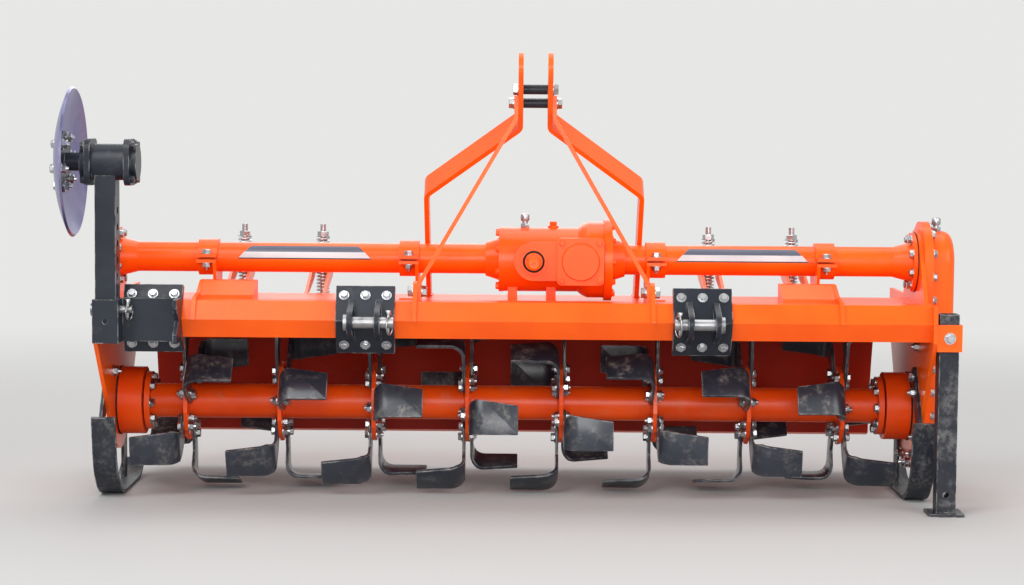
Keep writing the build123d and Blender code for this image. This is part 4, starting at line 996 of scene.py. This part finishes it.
@dataclass
class SideDrive:
    """The bolts of the side plates, the gear case and the axle flanges."""

    case_low: float = 0.160
    case_top: float = 0.104
    case_t: float = 0.022
    rim: float = 0.012
    cover_inset: float = 0.024
    flange_t: float = 0.012
    flange_ring: float = 0.0625
    flange_r: float = 0.075
    hub_r: float = 0.087
    cap_t: float = 0.018
    cap_ring: float = 0.056
    strap: tuple[tuple[float, float], tuple[float, float]] = ((-0.215, -0.041), (-0.118, 0.088))
    strap_t: float = 0.008
    strap_clear: float = 0.042
    strap_middle: float = 0.012
    nut_margin: float = 0.10
    case_bolts: int = 26
    outline_steps: int = 96
    flange_bolts: int = 8
    flange_first: float = 22.5
    cap_bolts: int = 6
    seam_wide: float = 0.0022
    seam_sunk: float = 0.0004
    seam_t: float = 0.0016
    hub_seam: tuple[float, float] = (0.0015, 0.0028)
    flange_seam: tuple[float, float] = (0.0010, 0.0016)

    def rim_points(self, inset: float, count: int) -> list[Vector]:
        """Give points spaced evenly along the gear case's outline.

        Args:
            inset: How far the points lie inside the outline.
            count: How many points there are.

        Returns:
            The points, in the plane X = 0.
        """
        low = Vector((0, PLAN.rotor.y, PLAN.rotor.z))
        top = Vector((0, PLAN.axle.y, PLAN.axle.z))
        low_r, top_r = self.case_low - inset, self.case_top - inset
        line = top - low
        heading = math.atan2(line.z, line.y)
        spread = math.acos((low_r - top_r) / line.length)
        side = math.sqrt(line.length ** 2 - (low_r - top_r) ** 2)
        spans = [2 * spread * top_r, side, 2 * (math.pi - spread) * low_r, side]
        points = []
        for index in range(count):
            run = sum(spans) * index / count
            leg = 0
            while run > spans[leg]:
                run -= spans[leg]
                leg += 1
            if leg == 0:
                points.append(self.on_ring(top, top_r, heading - spread + run / top_r))
            elif leg == 1:
                start = self.on_ring(top, top_r, heading + spread)
                points.append(start.lerp(self.on_ring(low, low_r, heading + spread), run / side))
            elif leg == 2:
                points.append(self.on_ring(low, low_r, heading + spread + run / low_r))
            else:
                start = self.on_ring(low, low_r, heading - spread)
                points.append(start.lerp(self.on_ring(top, top_r, heading - spread), run / side))
        return points

    @staticmethod
    def on_ring(centre: Vector, radius: float, angle: float) -> Vector:
        """Give the point at an angle on a ring about X."""
        return centre + radius * (math.cos(angle) * Y + math.sin(angle) * Z)

    def near_strap(self, point: Vector) -> float:
        """Measure how near a point is to the right skid's front strap.

        Args:
            point: The point, whose X doesn't count.

        Returns:
            Its distance from the strap's middle line.
        """
        low, high = (PLAN.rotor + Vector((0, *end)) for end in self.strap)
        run = Vector((0, high.y - low.y, high.z - low.z))
        start = Vector((0, point.y - low.y, point.z - low.z))
        share = min(1.0, max(0.0, start.dot(run) / run.length_squared))
        return (start - share * run).length

    def add_outline(self, mesh: bmesh.types.BMesh, inset: float, at: float, thick: float) -> None:
        """Add a thin plate with the gear case's outline.

        Args:
            mesh: The bmesh that gets the plate.
            inset: How far the plate's edge lies inside the case's outline.
            at: The plate's left face, along X.
            thick: The plate's thickness.
        """
        verts = [mesh.verts.new(point + at * X) for point in self.rim_points(inset, self.outline_steps)]
        face = mesh.faces.new(verts)
        grown = bmesh.ops.extrude_face_region(mesh, geom=[face])["geom"]
        bmesh.ops.translate(mesh, vec=thick * X, verts=[v for v in grown if isinstance(v, bmesh.types.BMVert)])
        bmesh.ops.recalc_face_normals(mesh, faces=mesh.faces)

    def add_seams(self, outer: float) -> None:
        """Add the dark seams of the cover, the hubs and the axle flanges.

        Args:
            outer: The gear case's outer face, along X.
        """
        mesh = bmesh.new()
        self.add_outline(mesh, self.cover_inset - self.seam_wide, outer - self.seam_sunk, self.seam_t)
        for face, side in ((PLAN.left_in, 1), (PLAN.right_in, -1)):
            out, wire = self.hub_seam
            add_wire_ring(mesh, Vector((face + side * out, PLAN.rotor.y, PLAN.rotor.z)), X, self.hub_r, wire)
            out, wire = self.flange_seam
            add_wire_ring(mesh, PLAN.axle + (face + side * out) * X, X, self.flange_r, wire)
        finish_piece(mesh, "dark_seams", Body.FRAME, RUBBER)

    def build(self) -> None:
        """Set the fasteners and the dark seams of both sides."""
        outer = PLAN.right_in + PLAN.side_t + self.case_t
        points = self.rim_points(self.rim, self.case_bolts)
        set_fasteners("case_bolts", M10, [Seat(p + outer * X, X) for p in points])
        inner = [p for p in points if p.z < PLAN.deck - self.nut_margin and p.y < PLAN.rotor.y + self.nut_margin]
        free = [Seat(p + PLAN.right_in * X, -X) for p in inner if self.near_strap(p) > self.strap_clear]
        held = [Seat(p + (PLAN.right_in - self.strap_t) * X, -X) for p in inner
                if self.near_strap(p) < self.strap_middle]
        set_fasteners("case_nuts", NUT12, free + held)
        flanges = [seat for face, out in ((PLAN.left_in + self.flange_t, X), (PLAN.right_in - self.flange_t, -X))
                   for seat in ring_seats(PLAN.axle + face * X, self.flange_ring, self.flange_bolts, out,
                                          self.flange_first)]
        set_fasteners("axle_flange_bolts", M10, flanges)
        cap = Vector((PLAN.left_in - PLAN.side_t - self.cap_t, PLAN.rotor.y, PLAN.rotor.z))
        set_fasteners("bearing_cap_bolts", M12, list(ring_seats(cap, self.cap_ring, self.cap_bolts, -X)))
        mesh = bmesh.new()
        add_turned(mesh, cap, -X, NIPPLE)
        finish_piece(mesh, "grease_nipple", Body.FRAME, ZINC)
        self.add_seams(outer)


@dataclass
class Hitch:
    """The bolts of the folded plates on the beam and the linch pins of the hitch."""

    row_rise: float = 0.060
    row_step: float = 0.052
    lug_t: float = 0.012
    pin_ahead: float = 0.052
    pin_r: float = 0.014
    linch_out: float = 0.0592
    arm_pin: Vector = Vector((-0.9435, -0.3139074, 0.4965))
    arm_pin_r: float = 0.009

    def plate_seats(self) -> tuple[list[Seat], list[Seat]]:
        """Find where the folded plates are bolted.

        Returns:
            The seats of the heads in front and those of the nuts behind.
        """
        heads: list[Seat] = []
        nuts: list[Seat] = []
        cosine, sine = math.cos(PLAN.lean), math.sin(PLAN.lean)
        for station in (*PLAN.hitch_stations, PLAN.disc_station):
            for side in (-1, 1):
                for step in (-1, 0, 1):
                    at = PLAN.ridge + Vector((station + step * self.row_step, self.row_rise * sine / cosine,
                                              side * self.row_rise))
                    out = Vector((0, -cosine, side * sine))
                    heads.append(Seat(at - PLAN.plate_t / cosine * Y, out))
                    nuts.append(Seat(at + self.lug_t * Y, -out))
        return heads, nuts

    def build(self) -> None:
        """Set the hitch's fasteners and linch pins."""
        heads, nuts = self.plate_seats()
        set_fasteners("bracket_bolts", M10, heads)
        set_fasteners("bracket_nuts", NUT12, nuts)
        linch_pin = LinchPin()
        mesh = bmesh.new()
        for station, inward in zip(PLAN.hitch_stations, (1, -1)):
            at = PLAN.ridge + Vector((station + inward * self.linch_out, -self.pin_ahead, 0))
            linch_pin.add(mesh, at, self.pin_r, inward)
        linch_pin.add(mesh, self.arm_pin, self.arm_pin_r, 1)
        finish_piece(mesh, "linch_pins", Body.FRAME, ZINC, 40.0)


@dataclass
class DriveHead:
    """The bolts, breather, plugs and seal of the centre gearbox."""

    left: float = -0.048
    left_ring: float = 0.0735
    left_bolts: int = 8
    left_first: float = 22.5
    right: float = 0.239
    right_ring: float = 0.089
    right_bolts: int = 10
    front: float = -0.0829074
    cover_x: float = 0.158
    cover_pitch: float = 0.0475
    cover_t: float = 0.012
    breathers: tuple[tuple[float, float], ...] = ((0.018, 0.687), (1.068, 0.685))
    plug: tuple[float, float] = (0.090, 0.687)
    seal_out: float = 0.0125
    seal_r: float = 0.0252
    seal_wire: float = 0.0024

    def build(self) -> None:
        """Set the gearbox's fasteners, plugs and seal."""
        corners = [Seat(Vector((self.cover_x + dx * self.cover_pitch, self.front - self.cover_t,
                                PLAN.axle.z + dz * self.cover_pitch)), -Y) for dx in (-1, 1) for dz in (-1, 1)]
        ends = [*ring_seats(PLAN.axle + self.left * X, self.left_ring, self.left_bolts, -X, self.left_first),
                *ring_seats(PLAN.axle + self.right * X, self.right_ring, self.right_bolts, X)]
        set_fasteners("gearbox_bolts", M8, corners + ends, slot=Slot.ORANGE)
        mesh = bmesh.new()
        for x, z in self.breathers:
            add_turned(mesh, Vector((x, PLAN.axle.y, z)), Z, BREATHER)
        finish_piece(mesh, "breathers", Body.FRAME, ZINC)
        mesh = bmesh.new()
        x, z = self.plug
        add_turned(mesh, Vector((x, PLAN.axle.y, z)), Z, FILLER_PLUG)
        finish_piece(mesh, "filler_plug", Body.FRAME, ORANGE)
        mesh = bmesh.new()
        nose = Vector((PLAN.hitch_x, self.front - self.seal_out, PLAN.axle.z))
        add_wire_ring(mesh, nose, Y, self.seal_r, self.seal_wire)
        finish_piece(mesh, "shaft_seal", Body.FRAME, RUBBER)


@dataclass
class Stripes:
    """Plain bands of film on the front of the axle tubes."""

    tube_r: float = 0.0383
    spans: tuple[tuple[float, float], ...] = ((-0.712, -0.372), (0.402, 0.740))
    film: float = 0.0003
    steps: int = 8

    def add_band(self, mesh: bmesh.types.BMesh, span: tuple[float, float], angles: tuple[float, float],
                 slants: tuple[float, float]) -> None:
        """Lay one band of film round the front of a tube.

        Args:
            mesh: The bmesh that gets the band.
            span: Its ends along X, at its lower edge.
            angles: Its lower and upper edge, in degrees above the level that faces forwards.
            slants: How far its two ends move along X from the lower edge to the upper one.
        """
        low, high = (math.radians(angle) for angle in angles)
        radius = self.tube_r + self.film
        middle = (span[0] + span[1]) / 2
        for end in span:
            corner = Vector((end, -radius * math.cos(low), radius * math.sin(low)))
            bmesh.ops.create_vert(mesh, co=PLAN.axle + corner)
        mesh.verts.ensure_lookup_table()
        first, second = mesh.verts[-2:]
        edge = mesh.edges.new((first, second))
        start = len(mesh.faces)
        bmesh.ops.spin(mesh, geom=[first, second, edge], cent=PLAN.axle, axis=X, angle=low - high, steps=self.steps)
        mesh.faces.ensure_lookup_table()
        faces = mesh.faces[start:]
        for vert in {v for face in faces for v in face.verts}:
            side = 0 if vert.co.x < middle else 1
            angle = math.atan2(vert.co.z - PLAN.axle.z, PLAN.axle.y - vert.co.y)
            vert.co.x += slants[side] * (angle - low) / (high - low)
        bmesh.ops.recalc_face_normals(mesh, faces=faces)
        bmesh.ops.solidify(mesh, geom=faces, thickness=self.film)

    def build(self) -> None:
        """Lay the bands: a thin dark edge, a silver band and a slate band above."""
        for name, finish, angles, inset, slant in (
            ("stripe_edge", FILM_EDGE, (-3, 1), 0.000, 0.003),
            ("stripe_silver", FILM_PALE, (1, 24), 0.003, 0.014),
            ("stripe_slate", FILM_DARK, (24, 52), 0.018, 0.016),
        ):
            mesh = bmesh.new()
            for left, right in self.spans:
                self.add_band(mesh, (left + inset, right - inset), angles, (slant, -slant))
            finish_piece(mesh, name, Body.FRAME, finish, 60.0)


@dataclass
class TubeClamps:
    """The bolts of the clamps round the axle tubes."""

    stations: tuple[float, ...] = (-0.788, -0.276, 0.351, 0.782)
    reach: float = 0.0612
    lip: float = 0.011

    def build(self) -> None:
        """Set a bolt and a nut on each lip."""
        heads = []
        nuts = []
        for station in self.stations:
            for side in (-1, 1):
                at = PLAN.axle + Vector((station, side * self.reach, 0))
                heads.append(Seat(at + self.lip * Z, Z))
                nuts.append(Seat(at - self.lip * Z, -Z))
        set_fasteners("clamp_bolts", M12, heads)
        set_fasteners("clamp_nuts", NUT12, nuts)


@dataclass
class SpringRods:
    """The coil springs, washers and nuts of the trailing board's rods."""

    stations: tuple[float, ...] = (-0.750, -0.535, 0.525, 0.754)
    rod_y: float = 0.4749074
    block: tuple[float, float] = (0.545, 0.575)
    length: float = 0.062
    coil_r: float = 0.0158
    wire: float = 0.0031
    wire_sides: int = 8
    turns: int = 6
    steps: int = 18

    def add_coil(self, mesh: bmesh.types.BMesh, at: Vector) -> None:
        """Add one coil.

        Args:
            mesh: The bmesh that gets it.
            at: The point that it stands on.
        """
        matrix = Matrix.Translation(at + Vector((self.coil_r, 0, self.wire))) @ Matrix.Rotation(math.pi / 2, 4, "X")
        made = bmesh.ops.create_circle(mesh, cap_ends=False, segments=self.wire_sides, radius=self.wire,
                                       matrix=matrix)
        edges = list({edge for vert in made["verts"] for edge in vert.link_edges})
        rise = (self.length - 2 * self.wire) / (self.turns * self.steps)
        bmesh.ops.spin(mesh, geom=made["verts"] + edges, cent=at, axis=(0, 0, 1), dvec=(0, 0, rise),
                       angle=2 * math.pi * self.turns, steps=self.turns * self.steps, use_merge=False)

    def build(self) -> None:
        """Make the coils, and set the washers and nuts."""
        mesh = bmesh.new()
        nuts = []
        for station in self.stations:
            for foot in (self.block[1], self.block[0] - self.length):
                self.add_coil(mesh, Vector((station, self.rod_y, foot)))
            nuts.append(Seat(Vector((station, self.rod_y, self.block[1] + self.length)), Z))
            nuts.append(Seat(Vector((station, self.rod_y, self.block[0] - self.length)), -Z))
        loose = [edge for edge in mesh.edges if edge.is_boundary]
        bmesh.ops.holes_fill(mesh, edges=loose, sides=self.wire_sides)
        bmesh.ops.recalc_face_normals(mesh, faces=mesh.faces)
        coils = finish_piece(mesh, "coil_springs", Body.FRAME, COIL, 60.0)
        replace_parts(coils, "rod_springs")
        set_fasteners("rod_nuts", ROD_NUT, nuts)


@dataclass
class Mast:
    """The bolts of the mast's bars, spacers and braces, and the welds at its feet."""

    gap: float = 0.060
    bar_t: float = 0.012
    brace_t: float = 0.010
    top: Vector = Vector((0.040, -0.2629074, 1.088))
    lean: float = math.radians(38)
    steps: tuple[float, float] = (0.066, 0.108)
    spread: float = 0.272
    width: float = 0.072
    lug: Vector = Vector((0.040, -0.2089074, 0.539))
    lug_t: float = 0.010
    weld_gap: float = 0.001

    def build(self) -> None:
        """Set the mast's fasteners and welds."""
        seats = []
        mesh = bmesh.new()
        for side in (-1, 1):
            faces = (self.gap / 2 + self.bar_t, self.gap / 2 + self.bar_t + self.brace_t)
            for face, step in zip(faces, self.steps):
                at = self.top + Vector((side * face, step * math.sin(self.lean), -step * math.cos(self.lean)))
                seats.append(Seat(at, side * X))
            outer = self.spread + 1.5 * self.brace_t + self.lug_t
            seats.append(Seat(self.lug + side * outer * X, side * X))
            seats.append(Seat(self.lug + side * (self.spread + self.brace_t / 2) * X, -side * X))
            run = (self.top.z - PLAN.deck) * math.tan(self.lean)
            reach = self.width / 2 / math.cos(self.lean)
            foot = Vector((self.top.x + side * self.spread, self.top.y + run, PLAN.deck + self.weld_gap))
            for edge in (-1, 1):
                line = foot + edge * (self.bar_t / 2 + self.weld_gap) * X
                add_weld(mesh, line - reach * Y, line + reach * Y)
        set_fasteners("mast_bolts", M16, seats)
        bmesh.ops.recalc_face_normals(mesh, faces=mesh.faces)
        finish_piece(mesh, "mast_welds", Body.FRAME, ORANGE, 70.0)


@dataclass
class DiscArm:
    """The bolts of the furrow disc and of its bearing barrel."""

    axle: Vector = Vector((0.0, -0.3139074, 0.853))
    disc_face: float = -1.106
    hub_face: float = -1.091
    ring: float = 0.060
    bolts: int = 6
    first: float = 15
    caps: tuple[float, float] = (-1.038, -0.930)
    corner: float = 0.041

    def build(self) -> None:
        """Set the disc's and the barrel's fasteners."""
        outer = list(ring_seats(self.axle + self.disc_face * X, self.ring, self.bolts, -X, self.first))
        inner = list(ring_seats(self.axle + self.hub_face * X, self.ring, self.bolts, X, self.first))
        set_fasteners("disc_bolts", M12, outer, Body.DISC)
        set_fasteners("disc_nuts", NUT12, inner, Body.DISC)
        corners = [Seat(self.axle + Vector((face, dy * self.corner, dz * self.corner)), side * X)
                   for face, side in zip(self.caps, (-1, 1)) for dy in (-1, 1) for dz in (-1, 1)]
        set_fasteners("barrel_bolts", M10, corners, slot=Slot.BLACK)


@dataclass
class Ground:
    """The bolts of the parking stand and of the skids' straps."""

    stand: Vector = Vector((1.0545, -0.2459074, 0.438))
    half: float = 0.0305
    strap_t: float = 0.008
    strap_bolts: tuple[tuple[float, float], ...] = ((-0.0409074, 0.318), (0.2050926, 0.270))

    def build(self) -> None:
        """Set the leg's bolt and the straps' bolts."""
        set_fasteners("stand_bolt", SET_BOLT, [Seat(self.stand - self.half * Y, -Y)])
        heads = []
        nuts = []
        for y, z in self.strap_bolts:
            heads.append(Seat(Vector((PLAN.left_in - PLAN.side_t - self.strap_t, y, z)), -X))
            heads.append(Seat(Vector((PLAN.right_in - self.strap_t, y, z)), -X))
            nuts.append(Seat(Vector((PLAN.left_in, y, z)), X))
        set_fasteners("skid_bolts", M14, heads)
        set_fasteners("skid_nuts", NUT14, nuts)


@dataclass(frozen=True)
class Lamp:
    """A soft square lamp that looks at a point above the middle of the floor."""

    name: str
    at: tuple[float, float, float]
    aim_z: float
    size: float
    watts: float

    def hang(self) -> None:
        """Hang the lamp, out of the camera's sight."""
        data = bpy.data.lights.new(self.name, "AREA")
        data.size = self.size
        data.energy = self.watts
        lamp = put_in_scene(self.name, data)
        lamp.location = self.at
        lamp.rotation_euler = (self.aim_z * Z - Vector(self.at)).to_track_quat("-Z", "Y").to_euler()
        lamp.visible_camera = False


LAMPS = (
    Lamp("key", (-2.6, -4.2, 4.6), 0.5, 3.6, 225),
    Lamp("fill", (3.6, -3.6, 2.6), 0.4, 3.0, 95),
    Lamp("front", (0.2, -7.0, 1.7), 0.3, 2.6, 150),
    Lamp("top", (0.2, 0.8, 4.4), 0.4, 3.4, 85),
    Lamp("rear", (-0.5, 4.6, 3.0), 0.4, 3.0, 62),
)


@dataclass
class Studio:
    """A pale floor that fades into the background, soft lamps and the camera."""

    pale: Colour = (0.80, 0.80, 0.79)
    near: Colour = (0.52, 0.515, 0.51)
    fade: tuple[float, float] = (1.5, 5.5)
    floor_r: float = 60.0
    floor_rough: float = 0.9
    soft: float = 0.40
    eye: Vector = Vector((-0.014, -5.92, 0.957))
    pitch: float = 4.2
    roll: float = 0.45
    focal_px: float = 2325.0
    picture_px: float = 1024.0
    sensor: float = 36.0

    def floor(self) -> None:
        """Lay a wide floor whose far parts take the background's colour."""
        mesh = bmesh.new()
        bmesh.ops.create_circle(mesh, cap_ends=True, segments=64, radius=self.floor_r)
        floor = put_in_scene("studio_floor", bake(mesh, "studio_floor"))
        graph = ShaderGraph("studio_floor")
        graph.fill(graph.surface, {"Base Color": (*self.near, 1.0), "Roughness": self.floor_rough})
        far = graph.add("ShaderNodeEmission")
        graph.fill(far, {"Color": (*self.pale, 1.0)})
        length = graph.add("ShaderNodeVectorMath", operation="LENGTH")
        graph.join(graph.place, length.inputs[0])
        mixer = graph.add("ShaderNodeMixShader")
        graph.join(graph.ramp(length.outputs["Value"], *self.fade), mixer.inputs[0])
        graph.join(graph.surface.outputs[0], mixer.inputs[1])
        graph.join(far.outputs[0], mixer.inputs[2])
        graph.join(mixer.outputs[0], graph.output.inputs["Surface"])
        floor.data.materials.append(graph.material)

    def world(self) -> None:
        """Light everything softly, and show the pale colour behind."""
        world = bpy.data.worlds.new("studio")
        bpy.context.scene.world = world
        world.use_nodes = True
        nodes, links = world.node_tree.nodes, world.node_tree.links
        nodes.clear()
        soft = nodes.new("ShaderNodeBackground")
        soft.inputs["Color"].default_value = (1.0, 1.0, 1.0, 1.0)
        soft.inputs["Strength"].default_value = self.soft
        seen = nodes.new("ShaderNodeBackground")
        seen.inputs["Color"].default_value = (*self.pale, 1.0)
        path = nodes.new("ShaderNodeLightPath")
        either = nodes.new("ShaderNodeMath")
        either.operation = "MAXIMUM"
        links.new(path.outputs["Is Camera Ray"], either.inputs[0])
        links.new(path.outputs["Is Glossy Ray"], either.inputs[1])
        mixer = nodes.new("ShaderNodeMixShader")
        links.new(either.outputs[0], mixer.inputs[0])
        links.new(soft.outputs[0], mixer.inputs[1])
        links.new(seen.outputs[0], mixer.inputs[2])
        output = nodes.new("ShaderNodeOutputWorld")
        links.new(mixer.outputs[0], output.inputs["Surface"])

    def camera(self) -> None:
        """Set the camera at the photograph's angle."""
        data = bpy.data.cameras.new("camera")
        data.sensor_width = self.sensor
        data.lens = self.sensor * self.focal_px / self.picture_px
        camera = put_in_scene("camera", data)
        pitch = Matrix.Rotation(math.radians(90 - self.pitch), 4, "X")
        roll = Matrix.Rotation(math.radians(self.roll), 4, "Z")
        camera.matrix_world = Matrix.Translation(self.eye) @ pitch @ roll
        bpy.context.scene.camera = camera

    def build(self) -> None:
        """Set up the whole studio."""
        self.floor()
        self.world()
        for lamp in LAMPS:
            lamp.hang()
        self.camera()
        bpy.context.scene.view_settings.view_transform = "Standard"


def main() -> None:
    """Dress the solids, add the pieces in order and set up the studio."""
    logging.basicConfig(level=logging.INFO, format="%(name)s: %(message)s")
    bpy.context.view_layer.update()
    PAINTBOX.dress_solids()
    for assembly in (Rotor(), SideDrive(), Hitch(), DriveHead(), Stripes(), TubeClamps(), SpringRods(), Mast(),
                     DiscArm(), Ground()):
        assembly.build()
        LOG.info("built %s", type(assembly).__name__)
    Studio().build()


if __name__ == "__main__":
    main()
